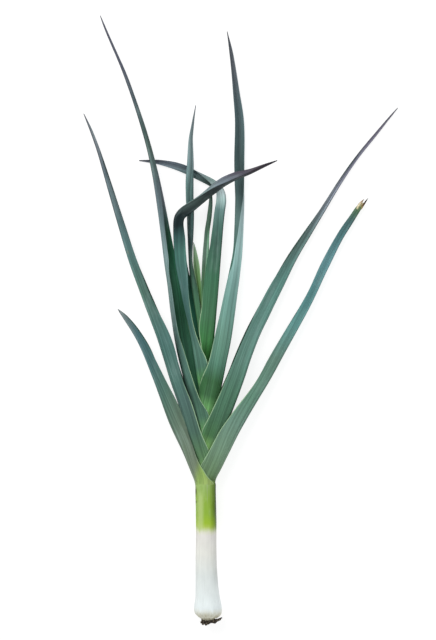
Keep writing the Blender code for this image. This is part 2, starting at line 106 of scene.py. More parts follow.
# How a leaf lies
# side: -1 left, 1 right
# ring: its place in the collar, from outside
# free: the y range in which the ring opens into a blade
# front: (y, x) of the upper margin as the eye sees it, where that line shows
# rows: (y, keel's distance outwards, lift, half width, fold, roll, keel radius), angles in degrees
# How a leaf is coloured
# outside, inside: (y, red, green, blue) along a wall; a leaf without inside has INSIDE; some rows are painted
# shade or a painted highlight, noted at their leaf
# slant: how much later the margins turn colour than the keel
# pale: the y at which the pale rim ends
# bands: painted light and shade, as factors across the front half of the outside, by share of the width, and
# their strength by y
# marks: (y, distance from the keel, size, red, green, blue) of a single spot
# shade: painted shade, a factor by y on one wall, from no effect to full effect over span, measured from the
# keel
LEAVES = {
    "leaf_left_1": dict(
        side=-1, ring=0, free=(212, 262), slant=1.7, pale=215,
        front=[
            (194, 13.4), (196, 12.4), (201.4, 7), (206, 2.8), (214, -2.1), (221.8, -7.4), (253.4, -19.6),
            (299.6, -35), (341.6, -56), (361.2, -65.8), (383.6, -77), (406, -89.6),
        ],
        rows=[
            (193, 13.4, 2, 28, 20, -12, 12), (200.3, 14.2, 3, 28, 20, -12, 12),
            (204, 15.6, 4, 25, 20, -14, 10), (211, 18.6, 5, 23, 20, -16, 8),
            (221, 22.8, 6, 20, 24, -24, 6.5), (248, 33.8, 7.5, 17.5, 30, -45, 5),
            (283, 49.6, 7.5, 17, 33, -52, 4), (319, 63.8, 3, 17, 34, -30, 3.5),
            (356, 78, REST, 16.5, 34, -8, 3), (384, 89.5, REST, 14.5, 34, 3, 2.5),
            (406, 101, REST, 12, 34, 4, 2), (428, 115, REST, 7.5, 32, 4, 1.5),
            (440, 122.6, REST, 1, 30, 3, 0.5),
        ],
        outside=[
            (150, 176, 204, 120), (168, 168, 196, 112), (180, 150, 182, 100), (190, 146, 176, 98),
            (197, 136, 158, 108), (204, 122, 138, 114), (214, 118, 134, 114), (256, 110, 132, 112),
            (310, 84, 119, 106), (350, 72, 110, 108), (390, 70, 108, 112), (425, 104, 120, 120),
            (441, 120, 126, 128),
        ],
        # painted shade on the right side of the sleeve by the collar
        shade=dict(span=(18, 27), rows=[(182, 1), (192, 0.6), (212, 0.6), (224, 1)]),
    ),
    "leaf_right_1": dict(
        side=1, ring=1, free=(226, 285), slant=0.2, pale=320,
        front=[
            (190, -11), (210, -11), (221.8, -7), (241.4, 4.2), (270.2, 19.6), (294.4, 36.4), (341.6, 71.4),
            (372.4, 88.2), (417.2, 114.8), (462, 141.4), (506.8, 162.4), (551.6, 187.6), (585, 212),
        ],
        rows=[
            (190, 12.4, 0, 31, 10, -4, 11), (200.3, 12.6, 0, 31, 10, -4, 11),
            (205, 13.8, 1, 31.5, 10, -5, 10.5), (212, 17.8, 2, 32.5, 10, -7, 10),
            (226, 25, 3.5, 31.6, 10, -10, 9.3), (241, 32.5, 5, 31, 10, -15, 9),
            (270, 47, 6, 28.5, 14, -20, 8), (294, 60.5, 6, 26, 18, -22, 7),
            (319, 75.5, 5.5, 24, 22, -22, 6), (350, 94, REST, 22, 26, -20, 5),
            (384, 112.5, REST, 20, 28, -18, 4.5), (417, 131, REST, 18.5, 30, -15, 4),
            (451, 149, REST, 16.5, 30, -12, 3.5), (496, 170, REST, 14.5, 30, -10, 3),
            (540, 192, REST, 12.5, 28, -10, 2.5), (560, 204.5, REST, 11, 27, -9, 2.2),
            (576, 214.2, REST, 9.4, 26, -8, 2), (583, 218.4, REST, 8.4, 25, -8, 1.8),
            (586, 220, REST, 6, 24, -8, 1.4), (588, 220.6, REST, 3, 24, -8, 0.8),
        ],
        outside=[
            (188, 80, 100, 44), (200, 80, 106, 58), (208, 104, 134, 96), (240, 114, 146, 120),
            (280, 108, 142, 125), (320, 92, 134, 113), (370, 104, 138, 123), (417, 102, 154, 149),
            (462, 88, 138, 138), (507, 98, 142, 146), (545, 74, 114, 116), (562, 72, 104, 104),
            (576, 78, 108, 84), (583, 92, 116, 72), (585, 206, 192, 140), (592, 232, 214, 170),
        ],
    ),
    "dried_flap": dict(
        side=1, ring=9, free=(0, 1), slant=0, pale=0,
        rows=[
            (578, 210.6, -5.5, 2, 20, 0, 1), (584, 214.4, -5, 4, 10, 0, 1.2),
            (589, 217.8, -5.5, 3.2, 16, 10, 1), (594, 221.4, -7, 0.5, 24, 20, 0.3),
        ],
        outside=[(580, 214, 202, 150), (587, 236, 222, 184), (591, 200, 172, 140), (594, 150, 118, 92)],
        inside=[(580, 206, 190, 136), (587, 222, 204, 160), (594, 150, 118, 92)],
    ),
    "dried_sliver": dict(
        side=1, ring=9, free=(0, 1), slant=0, pale=0,
        rows=[
            (580, 217.6, -7.5, 1.4, 20, 0, 0.7), (586, 221, -6.5, 2.4, 26, 0, 0.7),
            (591, 224.2, -6, 2.2, 28, 0, 0.6), (595, 226.8, -6.5, 0.8, 28, 0, 0.4),
        ],
        outside=[(582, 190, 172, 120), (586, 110, 78, 44), (590, 58, 36, 20), (596, 44, 28, 18)],
        inside=[(582, 190, 172, 120), (587, 80, 54, 32), (596, 44, 28, 18)],
    ),
    "leaf_left_2": dict(
        side=-1, ring=2, free=(252, 310), slant=0.3, pale=320,
        front=[
            (205, 8), (228, 9.5), (242.2, 4.6), (266, -5.6), (309.4, -19.6), (341.6, -32.2), (394.8, -46.2),
            (462, -78.4), (529.2, -103.6), (596.4, -126), (663.6, -149.8),
        ],
        rows=[
            (196, 10.8, 0, 22.5, 18, 0, 10), (226, 11.2, 0, 22.5, 18, 0, 9.5),
            (242, 16.5, 0, 24.8, 18, 0, 7.5), (266, 24.5, 0, 24, 18, 0, 6.5),
            (288, 31.5, 0, 22.8, 20, 0, 5.5), (310, 38.5, 0, 22, 22, 0, 5), (342, 49.5, -0.5, 21, 26, 2, 4),
            (370, 58, REST, 20.5, 29, 4, 3.7), (400, 67.5, REST, 19.5, 30, 4, 3.5),
            (440, 82.5, REST, 17, 31, 4, 3), (470, 93.5, REST, 15, 31, 4, 2.7),
            (505, 106.2, REST, 13, 31, 4, 2.5), (555, 121.2, REST, 11, 30, 3, 2),
            (610, 137, REST, 8.5, 28, 2, 1.8), (664, 152.5, REST, 5.4, 26, 0, 1.3),
            (692, 162.2, REST, 3.6, 24, 0, 1), (713, 170.6, REST, 1.3, 24, 0, 0.6),
        ],
        outside=[
            (200, 150, 185, 100), (216, 116, 158, 90), (230, 94, 132, 92), (266, 78, 110, 96),
            (309, 84, 115, 108), (342, 86, 126, 116), (395, 86, 126, 120), (462, 78, 112, 100),
            (529, 82, 115, 114), (580, 78, 98, 102), (630, 78, 92, 98), (664, 92, 100, 106),
            (713, 84, 88, 96),
        ],
        marks=[(400, 0.5, 3, 104, 90, 70), (520, -4, 2.5, 120, 126, 110)],
    ),
    "leaf_right_2": dict(
        side=1, ring=3, free=(282, 345), slant=0.3, pale=320,
        front=[
            (225, -7), (252, -8), (268.8, -5.6), (290.5, 5), (310, 14), (327, 21.8), (341.6, 28),
            (361.2, 36.4), (406, 56), (473.2, 89.6), (540.4, 134.4), (607.6, 177.8), (674.8, 226.8),
        ],
        rows=[
            (206, 9.6, 0, 20.5, 14, 0, 9), (230, 10, 0, 20.5, 14, 0, 8.5), (245, 15.8, 0, 26, 14, 0, 6.5),
            (267, 25, 0, 30.5, 14, 0, 5.5), (291, 34, 0, 31.5, 14, 0, 5), (313, 42.5, 0, 29.5, 17, 0, 4.5),
            (342, 53, 0, 27.5, 22, 0, 4), (370, 62.2, 0, 26, 25, 0, 3.7),
            (400, 73.5, REST, 24.5, 28, 0, 3.3), (430, 87.6, REST, 23, 30, 0, 3),
            (473, 108.6, REST, 19.5, 30, 2, 3), (510, 126.6, REST, 15.8, 30, 2, 2.6),
            (545, 147, REST, 12, 28, 1, 2.2), (580, 168, REST, 8.6, 25, 0, 2),
            (615, 188.6, REST, 6.6, 22, 0, 1.6), (652, 213.6, REST, 5.6, 20, 0, 1.4),
            (686, 240.6, REST, 4.4, 20, 0, 1.2), (710, 259.4, REST, 2.7, 20, 0, 0.9),
            (721, 268.2, REST, 1.3, 20, 0, 0.6),
        ],
        outside=[
            (225, 130, 172, 92), (246, 114, 160, 92), (258, 76, 120, 78), (285, 78, 120, 92),
            (320, 88, 132, 108), (361, 106, 150, 134), (406, 112, 156, 144), (473, 99, 146, 136),
            (540, 98, 124, 120), (608, 138, 144, 158), (650, 128, 128, 146), (700, 104, 100, 116),
            (720, 92, 88, 100),
        ],
        # painted light and shade: darker at the keel and the margin, lighter between
        bands=dict(
            rows=[(310, 0), (380, 0.3), (470, 0.4), (540, 0.7), (600, 1), (720, 0.7)],
            across=[(0, 0.45), (0.14, 0.6), (0.26, 1.5), (0.42, 1.35), (0.56, 0.62), (1, 0.5)],
        ),
        marks=[(293, -2, 3.2, 92, 84, 52), (300, -1, 2.2, 120, 104, 76)],
    ),
    "leaf_left_3": dict(
        side=-1, ring=4, free=(300, 360), slant=0.3, pale=400,
        front=[
            (245, 6), (272, 7), (292.6, 4.6), (313.6, -7.4), (347.2, -19.6), (377.2, -28.7), (410.2, -38.6),
            (471.8, -48), (509.6, -54.6),
        ],
        rows=[
            (226, 8.5, 0, 16.5, 20, 0, 7.5), (263, 8.6, 0, 16.5, 20, 0, 7), (277, 12.2, 0, 19.5, 20, 0, 6),
            (291, 16.5, 0, 22.8, 20, 0, 5), (310, 21.5, 0, 22.5, 22, 3, 4.5),
            (330, 27.5, -1, 24, 26, 10, 4), (352, 32.5, -4, 25, 30, 20, 3.5),
            (379, 38.8, -8, 24.5, 33, 30, 3), (407, 44, REST, 22.5, 35, 36, 2.5),
            (434, 47.6, REST, 20, 36, 36, 2.5), (470, 52, REST, 18, 36, 33, 2.5),
            (508, 57.6, REST, 16.5, 35, 28, 2.5), (545, 62.2, -7, 14.2, 34, 24, 2.4),
            (580, 66.8, -3, 12.4, 33, 16, 2.2), (619, 72.6, 0, 10.5, 31, 6, 2),
            (650, 78.6, 0.5, 9.2, 30, 0, 1.8), (685, 87.4, -1, 7.8, 29, 0, 1.7),
            (731, 101.5, -5, 6, 27, 0, 1.5), (770, 115.2, REST, 5, 26, 0, 1.3),
            (806, 130.2, REST, 3.8, 26, 0, 1.1), (830, 140.2, REST, 2.8, 26, 0, 0.9),
            (850, 147.6, REST, 1.2, 26, 0, 0.6),
        ],
        outside=[
            (250, 120, 165, 90), (272, 96, 144, 94), (286, 78, 118, 96), (320, 68, 101, 88),
            (350, 98, 140, 126), (420, 104, 135, 131), (470, 116, 147, 143), (510, 130, 158, 158),
            (560, 100, 122, 126), (600, 88, 103, 109), (635, 66, 86, 85), (665, 54, 75, 68),
            (720, 60, 75, 78), (780, 74, 78, 90), (850, 78, 80, 92),
        ],
        inside=[
            (250, 60, 114, 64), (320, 56, 108, 78), (380, 52, 98, 76), (430, 34, 80, 56),
            (500, 49, 108, 81), (545, 40, 82, 62), (566, 70, 94, 92), (590, 98, 106, 112),
            (640, 90, 98, 104), (850, 74, 80, 90),
        ],
        # painted highlight: a lighter strip in the middle of the front half
        bands=dict(
            rows=[(520, 0), (560, 1), (630, 0.9), (660, 0.4), (850, 0.3)],
            across=[(-0.2, 0.8), (0.1, 0.86), (0.3, 1.3), (0.42, 1.3), (0.6, 0.9), (1, 0.8)],
        ),
        # painted shade near the keel, low on the leaf, where leaf_left_2's margin lies over it
        shade=dict(span=(10, 3), rows=[(285, 0.4), (340, 0.36), (385, 0.5), (420, 1)]),
    ),
    "leaf_right_3": dict(
        side=1, ring=5, free=(345, 410), slant=0.3, pale=385,
        front=[
            (285, -7), (300, -8.4), (313, -9.6), (322, -10.2), (332, -9.2), (341, -6.6), (352, -2.4),
            (363.3, 2.8), (397.6, 11.2), (424.2, 17.6), (459.2, 25.2), (503.3, 35),
        ],
        rows=[
            (250, 7.2, 0, 14, 12, 0, 6.5), (266, 7.4, 0, 14, 12, 0, 6), (280, 9.6, 0, 17, 12, 0, 5.6),
            (295, 13.2, 0, 21, 12, 0, 5), (312, 17, 0, 24.5, 12, 0, 4.5), (330, 21, 0, 26.6, 12, 0, 4),
            (346, 24.4, 0, 27.8, 12, 0, 4), (363, 27.8, 0, 27.4, 12, 0, 4), (398, 35, 0, 25.8, 16, 0, 3.5),
            (428, 39.4, 0, 23.6, 22, 0, 3), (461, 43.6, 0, 20.6, 28, 3, 3),
            (490, 47.4, 0, 17.5, 30, 7, 2.9), (520, 50.6, -3, 14.6, 31, 9, 2.6),
            (550, 52, REST, 13, 33, 21, 2.3), (570, 52.6, REST, 12.5, 34, 31, 2.2),
            (592, 52.8, REST, 12, 36, 44, 2.2), (620, 50.8, REST, 11.4, 38, 62, 2.2),
            (650, 48.2, REST, 10.8, 40, 80, 2), (700, 47.2, REST, 9, 42, 90, 2),
            (745, 42.6, REST, 6.5, 40, 88, 1.6), (775, 39, REST, 4.8, 38, 88, 1.3),
            (800, 35.4, REST, 3.3, 38, 88, 1.1), (828, 30, REST, 0.6, 36, 88, 0.3),
        ],
        outside=[
            (285, 110, 160, 90), (300, 104, 160, 98), (315, 62, 108, 66), (335, 60, 106, 66),
            # the pale teal round y 500 to 560 is a painted highlight
            (360, 90, 136, 115), (400, 107, 149, 132), (450, 123, 168, 158), (500, 147, 188, 182),
            (560, 162, 190, 190), (600, 140, 160, 162), (660, 114, 133, 137), (760, 108, 120, 127),
            (827, 90, 94, 102),
        ],
        inside=[
            (290, 50, 90, 50), (400, 62, 102, 84), (500, 74, 116, 104), (560, 108, 138, 134),
            (600, 84, 108, 108), (640, 82, 105, 105), (720, 95, 117, 121), (780, 115, 122, 130),
            (827, 90, 94, 102),
        ],
    ),
    "leaf_left_4": dict(
        side=-1, ring=6, free=(364, 404), slant=0.3, pale=440,
        front=[
            (310, 4), (340, 5.4), (364.6, 2.8), (389.2, -7.4), (410.2, -14.8), (432.6, -19.9),
            (468.3, -24.2), (485.6, -24.9), (509.6, -26.6), (524.8, -27.9), (560, -28.9),
        ],
        rows=[
            (290, 5.9, 0, 11.5, 24, 0, 5), (318, 6.6, 0, 11.5, 24, 0, 4.6), (336, 10.2, 0, 13.8, 24, 0, 4),
            (352, 12.6, 0, 16, 24, 0, 3.4), (368, 14.9, -0.5, 17, 26, 3, 3),
            (390, 18.2, -2, 17, 30, 14, 2.6), (412, 22, -3.5, 17, 33, 22, 2.5),
            (440, 28.6, -3.5, 17.3, 34, 24, 2.5), (472, 35.4, 0, 17.5, 35, 15, 2.5),
            (510, 42.6, 4, 18, 34, 8, 2.5), (545, 44.8, 7, 17.5, 33, -3, 2.5),
            (560, 44.8, 9.5, 16.5, 33, -6, 2.5), (571, 43, 12.5, 15.5, 33, -12, 2.2),
            (579.5, 37, 16.5, 14.5, 34, -26, 1.8), (587.5, 26, 20, 14.2, 34, -48, 1),
            (596.5, 11.5, 22.5, 13, 29, -62, 0.7), (611, -12, 23, 12.2, 32, -85, 0.6),
            (618, -28.6, 21, 11.2, 35, -108, 0.7), (624.5, -43, 18, 9.7, 35, -112, 1),
            (632, -62, 14, 6.5, 34, -102, 0.9), (641, -82, 11, 3.8, 32, -95, 1),
            (648, -99.4, 9, 1, 30, -90, 0.5),
        ],
        outside=[
            (318, 106, 164, 98), (342, 96, 156, 98), (358, 84, 126, 108), (385, 96, 138, 122),
            # the near black round y 540 to 580 is painted shade at the bend
            (420, 86, 128, 120), (470, 83, 123, 118), (515, 74, 118, 108), (540, 50, 82, 80),
            (554, 23, 38, 40), (570, 23, 37, 39), (580, 60, 76, 74), (590, 92, 112, 108),
            (602, 112, 132, 132), (617, 90, 97, 109), (626, 80, 79, 91), (633, 78, 72, 82),
            (639, 64, 58, 68), (648, 50, 46, 54),
        ],
        inside=[
            (320, 64, 122, 66), (400, 50, 108, 80), (430, 50, 113, 92), (480, 36, 86, 66),
            (540, 34, 62, 56), (600, 50, 70, 66), (650, 70, 76, 80),
        ],
        # painted highlight along the keel past the bend
        bands=dict(
            rows=[(576, 0), (584, 1), (624, 1), (634, 0)],
            across=[(-0.14, 1), (-0.06, 2.3), (0.02, 2.3), (0.05, 1)],
        ),
        # painted shade on the lower strip past the bend
        shade=dict(
            span=(-0.4, 0.4),
            rows=[
                (572, 1), (582, 0.8), (590, 0.45), (600, 0.2), (617, 0.14), (626, 0.3), (634, 0.6),
                (642, 1),
            ],
        ),
    ),
    "leaf_right_4": dict(
        side=1, ring=7, free=(378, 412), slant=0.2, pale=440,
        front=[
            (345, -3.4), (365, -4.2), (380, -5.6), (395, -7.6), (404, -9), (412, -9.8), (423.4, -8.9),
            (443.8, -5.8), (459.2, -4.7), (484.4, -1.4), (509.6, 2), (537.6, 8.4),
        ],
        rows=[
            (306, 4.5, 0, 8, 6, 0, 4), (336, 4.6, 0, 8, 6, 0, 3.8), (352, 6, 0, 8.6, 4, 0, 3.6),
            (370, 8, 0, 10.4, 4, 0, 3.4), (390, 10.2, 0, 14.6, 4, 0, 3.2), (412, 12.4, 0, 18.6, 6, 0, 3),
            (440, 14.8, 0.5, 21.5, 10, 0, 3), (474, 17.6, 0.5, 21, 15, 0, 3),
            (510, 20.4, 0.5, 19, 21, -3, 3), (552, 23.8, 0.5, 16.5, 27, -8, 2.8),
            (576, 26.2, 0.5, 15.5, 31, -15, 2.5), (592, 28.2, 0.5, 14.5, 34, -20, 2.5),
            (604, 26.6, 0, 13.5, 34, -14, 2.5), (614, 20.4, -1.5, 12.5, 33, 0, 2.4),
            (622, 9.8, -3.5, 11.5, 33, 14, 2.2), (627.5, -1.6, -6, 10.5, 34, 30, 2),
            (632.4, -14, -9, 9.6, 36, 52, 2), (636.8, -29, REST, 8.6, 38, 78, 1.8),
            (642, -48, REST, 6.8, 42, 88, 1.5), (646.2, -69, REST, 4.2, 42, 88, 1.2),
            (648, -92.4, REST, 1, 40, 88, 0.5),
        ],
        outside=[
            (350, 28, 72, 28), (368, 22, 64, 22), (380, 36, 86, 36), (395, 60, 117, 66), (430, 70, 116, 83),
            (480, 70, 120, 91), (530, 64, 102, 87), (560, 84, 122, 112), (578, 108, 142, 138),
            # the pale colours round y 592 to 612 are a painted highlight on the crest
            (592, 176, 207, 203), (604, 214, 234, 234), (612, 162, 184, 182), (620, 100, 124, 120),
            (636, 128, 140, 148), (650, 108, 108, 120),
        ],
        inside=[
            (364, 50, 96, 50), (500, 60, 96, 74), (600, 90, 116, 110), (616, 66, 84, 80),
            (630, 106, 128, 130), (645, 124, 136, 148), (652, 90, 88, 98),
        ],
    ),
    "leaf_left_5": dict(
        side=-1, ring=8, free=(390, 440), slant=0, pale=400,
        rows=[
            (330, 3.4, 0, 6.2, 25, 0, 2.6), (344, 3.4, 0, 6.2, 25, 0, 2.6), (370, 4.8, 0, 7, 10, 0, 2.1),
            (400, 8.4, 0, 8.6, 6, 0, 1.9), (430, 13, 0, 8.6, 10, 0, 2), (453, 17, 0.4, 8.8, 10, -12, 1.8),
            (480, 20.6, 1, 8.2, 12, -45, 1.5), (507, 22.3, 1.5, 7.2, 12, -76, 1.2),
            (530, 22, 1.5, 7, 22, -85, 1.4), (550, 21.8, 1.5, 7, 34, -85, 1.6),
            (572, 22.2, 1.5, 7.2, 42, -80, 1.8), (600, 24, 2, 7.5, 46, -72, 1.8),
            (622, 22.4, 5, 7.2, 47, -92, 1.8), (645, 20.4, 4.5, 6.2, 46, -105, 1.6),
            (675, 20.4, -0.5, 4.4, 42, -105, 1.4), (700, 18, -5, 2.5, 36, -90, 1),
            (725, 14, -9, 0.6, 34, -86, 0.3),
        ],
        outside=[
            (395, 74, 122, 74), (450, 74, 118, 88), (500, 72, 108, 94), (535, 46, 72, 72),
            (560, 76, 106, 104), (610, 94, 126, 122), (650, 116, 140, 142), (690, 112, 130, 132),
            (725, 110, 118, 126),
        ],
        inside=[
            (395, 76, 124, 76), (470, 68, 110, 82), (540, 54, 84, 76), (600, 84, 112, 106),
            (650, 110, 132, 132), (725, 110, 118, 126),
        ],
    ),
    "leaf_right_5": dict(
        side=1, ring=9, free=(360, 370), slant=0, pale=430,
        rows=[
            (380, 1.9, 0, 3.4, 20, 0, 1.6), (400, 1.9, 0, 3.8, 20, 0, 1.6),
            (430, 1.9, 0.3, 8.2, 12, 0, 1.5), (472, 1.9, 0.3, 9.4, 14, 0, 1.5),
            (510, 3.6, 0, 9.2, 20, 8, 1.4), (545, 4.6, 0, 7.6, 28, 8, 1.4), (570, 8, 0.5, 7.6, 28, 2, 1.4),
            (590, 9.2, 0.5, 6, 28, 0, 1.3), (600, 8.8, 0, 4.4, 28, 0, 1.1), (609, 7.2, 0, 1, 28, 0, 0.5),
        ],
        outside=[
            (420, 84, 134, 80), (470, 88, 134, 92), (510, 94, 126, 106), (540, 78, 112, 90),
            (556, 66, 98, 76), (590, 62, 94, 74), (609, 70, 90, 84),
        ],
        inside=[
            (420, 64, 108, 70), (470, 58, 102, 74), (500, 58, 98, 76), (516, 116, 140, 128),
            (534, 104, 132, 118), (552, 58, 90, 70), (609, 56, 88, 68),
        ],
        # painted light on the strip beside the keel, which lies under leaf_right_4
        bands=dict(
            rows=[(460, 0), (490, 1), (535, 1), (560, 0)],
            across=[(0, 4.4), (0.42, 3.8), (0.56, 1), (1, 0.9)],
        ),
    ),
    "heart_leaf": dict(
        side=-1, ring=9, free=(0, 1), slant=0, pale=500,
        rows=[
            (430, 5.8, -0.8, 2, 26, 30, 0.8), (456, 8.3, -1.8, 3.6, 30, 62, 1),
            (480, 10.6, -2.4, 5, 40, 78, 1.2), (500, 13, -2.4, 6, 44, 86, 1.2),
            (514, 14.6, -2, 4.4, 42, 84, 1), (526, 16, -1, 2.4, 38, 80, 0.7),
            (533, 17, -0.5, 0.6, 34, 76, 0.3),
        ],
        outside=[
            (440, 86, 138, 74), (480, 118, 164, 92), (505, 138, 174, 114), (520, 144, 171, 142),
            (533, 146, 165, 154),
        ],
        inside=[
            (440, 112, 160, 88), (470, 126, 176, 106), (490, 138, 186, 122), (505, 154, 196, 146),
            (520, 158, 194, 158), (533, 158, 180, 164),
        ],
        # painted shade on the front half of the inside
        shade=dict(wall="inside", span=(-1.2, 0.6), rows=[(440, 0.6), (500, 0.5), (533, 0.8)]),
    ),
}

INSIDE = [(200, 70, 110, 60), (260, 50, 86, 62), (400, 46, 78, 64), (720, 70, 86, 88)]

SHANK_EDGES = [  # (y, left x, right x) of the shank's outline
    (10.0, -5.0, 11.6),
    (10.4, -7.4, 14.9),
    (11.6, -9.9, 17.9),
    (13.4, -12.2, 20.0),
    (15.6, -14.3, 21.4),
    (18.4, -15.8, 22.2),
    (21.5, -16.4, 22.5),
    (27.0, -16.1, 22.2),
    (33.0, -15.2, 21.0),
    (41.0, -14.4, 19.5),
    (58.0, -14.2, 17.3),
    (75.0, -14.2, 16.0),
    (91.0, -14.1, 15.3),
    (116.0, -13.9, 15.0),
    (141.0, -13.7, 15.0),
    (166.0, -13.9, 14.6),
    (189.0, -14.4, 14.2),
    (195.0, -14.4, 14.2),
    (201.0, -13.2, 13.0),
    (208.0, -11.8, 11.6),
]

ROOTS = [  # (angle about the axis in degrees, start radius, end x, end y, end z above the axis)
    (182, 5.4, -8.6, 4.2, -1.0),
    (205, 4.4, -5.6, 2.4, 3.5),
    (152, 4.6, -5.0, 5.2, 6.0),
    (122, 4.0, -1.2, 3.2, 7.4),
    (244, 3.6, -2.0, 1.8, 4.0),
    (286, 3.0, 2.0, 2.4, 4.0),
    (96, 2.8, 3.6, 5.0, 6.8),
    (2, 6.4, 20.8, 11.0, 1.0),
    (18, 6.6, 18.6, 9.6, 4.0),
    (26, 6.4, 16.4, 8.6, 5.6),
    (42, 6.2, 13.4, 6.6, 6.0),
    (334, 5.6, 11.4, 5.0, 2.0),
    (64, 5.0, 8.4, 6.4, 7.2),
]
CREASES = [  # (angle about the axis in degrees, depth as a share of the radius, width in radians)
    (8, 0.05, 0.06), (38, 0.035, 0.05), (62, 0.06, 0.05), (83, 0.05, 0.04), (108, 0.05, 0.06),
    (139, 0.04, 0.05), (168, 0.05, 0.07), (204, 0.04, 0.05), (247, 0.05, 0.06), (301, 0.05, 0.05),
    (335, 0.035, 0.06),
]
STRANDS = [  # the strands of each root, as (turn in degrees, factors of start radius, end and end's y)
    (0, 1.0, 1.0, 1.0), (14, 0.8, 0.88, 0.8),
]
ROOT_TOP = 8.0  # y where the roots leave the root plate
ROOT_POINTS = 8  # points on the path of one strand
BULB_TOP, NECK = 30.0, 192.0  # y where the spacing of the shank's rings changes
BULB_RINGS, STEM_RINGS, NECK_RINGS = 44, 110, 14
SHANK_POINTS = 176  # points of a ring
SHANK_GAP = 0.3  # height of the flat underside above the surface
PLATE_RINGS, PLATE_POINTS = 22, 72
ROUND_VEINS = 14.3  # millimetres that the veins count for each radian round the shank
PLATE_SHIFT = BULB_SHIFT + 1.2
PLATE = [  # (y, radius) of the root plate's outline, from the bulb down
    (11.6, 9.4), (10.6, 10.4), (9.6, 10.0), (8.8, 9.2), (8.1, 8.2), (7.6, 6.4), (7.4, 3.0),
]


def place(points):
    """Plant millimetres to the frame's metres."""
    found = np.array(points, float)
    return (found + np.array([AXIS_X, ROOT_Y, 0.0])) * MM


def tint(red, green, blue):
    """A colour given as 0 to 255 display values, made linear."""
    return tuple(
        c / 12.92 if c <= 0.04045 else ((c + 0.055) / 1.055) ** 2.4
        for c in (red / 255, green / 255, blue / 255)
    )


# ---------------------------------------------------------------- shapes


def smoothstep(low, high, value):
    t = np.clip((value - low) / (high - low), 0.0, 1.0)
    return t * t * (3 - 2 * t)


def curve_through(xs, ys, at):
    """A smooth curve through the points that never overshoots them (monotone cubic)."""
    xs, ys, at = np.asarray(xs, float), np.asarray(ys, float), np.asarray(at, float)
    h = np.diff(xs)
    d = np.diff(ys) / h
    m = np.zeros(len(xs))
    m[0], m[-1] = d[0], d[-1]
    for i in range(1, len(xs) - 1):
        if d[i - 1] * d[i] > 0:
            w1, w2 = 2 * h[i] + h[i - 1], h[i] + 2 * h[i - 1]
            m[i] = (w1 + w2) / (w1 / d[i - 1] + w2 / d[i])
    k = np.clip(np.searchsorted(xs, at) - 1, 0, len(h) - 1)
    t = np.clip((at - xs[k]) / h[k], 0.0, 1.0)
    return (
        (2 * t**3 - 3 * t**2 + 1) * ys[k]
        + (t**3 - 2 * t**2 + t) * h[k] * m[k]
        + (3 * t**2 - 2 * t**3) * ys[k + 1]
        + (t**3 - t**2) * h[k] * m[k + 1]
    )


def soften(values, passes):
    """Rounds the corners out of a row of values, ends held."""
    found = np.array(values, float)
    for _ in range(passes):
        found[1:-1] = 0.25 * found[:-2] + 0.5 * found[1:-1] + 0.25 * found[2:]
    return found


def fan_height(y):
    return AXIS_Z - DROOP * np.clip((y - COLLAR) / DROOP_LENGTH, 0.0, 1.0)


def fold_profile(u, radius, fold, straight, curl):
    """One half of a folded section as (along the opening, across it), keel at the origin."""
    turn = math.pi / 2 - fold
    bend = radius * turn
    angle = np.minimum(u, bend) / radius
    x = radius - radius * np.cos(angle)
    y = radius * np.sin(angle)
    run = np.clip(u - bend, 0.0, straight)
    x = x + run * math.cos(fold)
    y = y + run * math.sin(fold)
    rest = np.maximum(u - bend - straight, 0.0)
    if curl > 1e-6:
        heading = fold - curl * rest
        x = x + (math.sin(fold) - np.sin(heading)) / curl
        y = y + (np.cos(heading) - math.cos(fold)) / curl
    else:
        x = x + rest * math.cos(fold)
        y = y + rest * math.sin(fold)
    return x, y


def section(leaf, row, heading, fractions, bow, front_width=None):
    """Points (mm) of one section of a leaf, from its front margin over the keel to the back."""
    y, out, height, half_width, fold, roll, keel_radius = row
    side = leaf["side"]
    ring = RING_RADIUS - RING_PITCH * leaf["ring"]
    if leaf["ring"] <= FAN_LAST:
        ring += FAN_GROWTH * max(0.0, y - FAN_START)
    free = float(smoothstep(*leaf["free"], y))
    normal = (1 - free) * np.array([0.0, 1.0]) + free * heading
    normal /= np.linalg.norm(normal)
    inward = np.array([-side * normal[1], side * normal[0]])
    fold, roll = math.radians(fold), math.radians(roll)
    centre = np.array([0.0, float(fan_height(y))])
    keel = np.array([side * out, height])
    away = keel - centre
    reach = np.linalg.norm(away)
    if free < 1 and reach < ring:
        keel = centre + away * ring / reach
        away, reach = keel - centre, ring
    opening = free * np.array([math.cos(roll), math.sin(roll)])
    opening += (1 - free) * np.array([-away[0] * inward[0], -away[1]]) / max(reach, 1e-9)
    opening /= np.linalg.norm(opening)
    if free < 1:
        keel_radius = min(keel_radius, ring)
    between = max(reach - keel_radius, ring - keel_radius + 1e-6)
    wrapped = math.asin(min(1.0, (ring - keel_radius) / between))
    straight = math.sqrt(max(0.0, between**2 - (ring - keel_radius) ** 2))
    fold = (1 - free) * wrapped + free * fold
    straight = straight + free * ENDLESS
    halves = []
    for width in (half_width if front_width is None else front_width, half_width):
        along, across = fold_profile(
            width * fractions, keel_radius, fold, straight, (1 - free) / ring
        )
        halves.append((along, across + bow * free * width * np.sin(math.pi * fractions)))
    (along_1, across_1), (along_2, across_2) = halves
    along = np.concatenate([along_1[:0:-1], along_2])
    across = np.concatenate([across_1[:0:-1], -across_2])
    flat = along * opening[0] - across * opening[1]
    rise = along * opening[1] + across * opening[0]
    return np.stack(
        [keel[0] + inward[0] * flat, y + inward[1] * flat, keel[1] + rise], axis=1
    )


def headings(route):
    """Unit directions of a route seen from above, at each of its points."""
    steps = np.gradient(route, axis=0)
    return steps / np.linalg.norm(steps, axis=1)[:, None]


def sight(height):
    """How much further out the eye sees a point at this height than one in the sight plane."""
    return (EYE_Z - SIGHT_HEIGHT) / (EYE_Z - height)


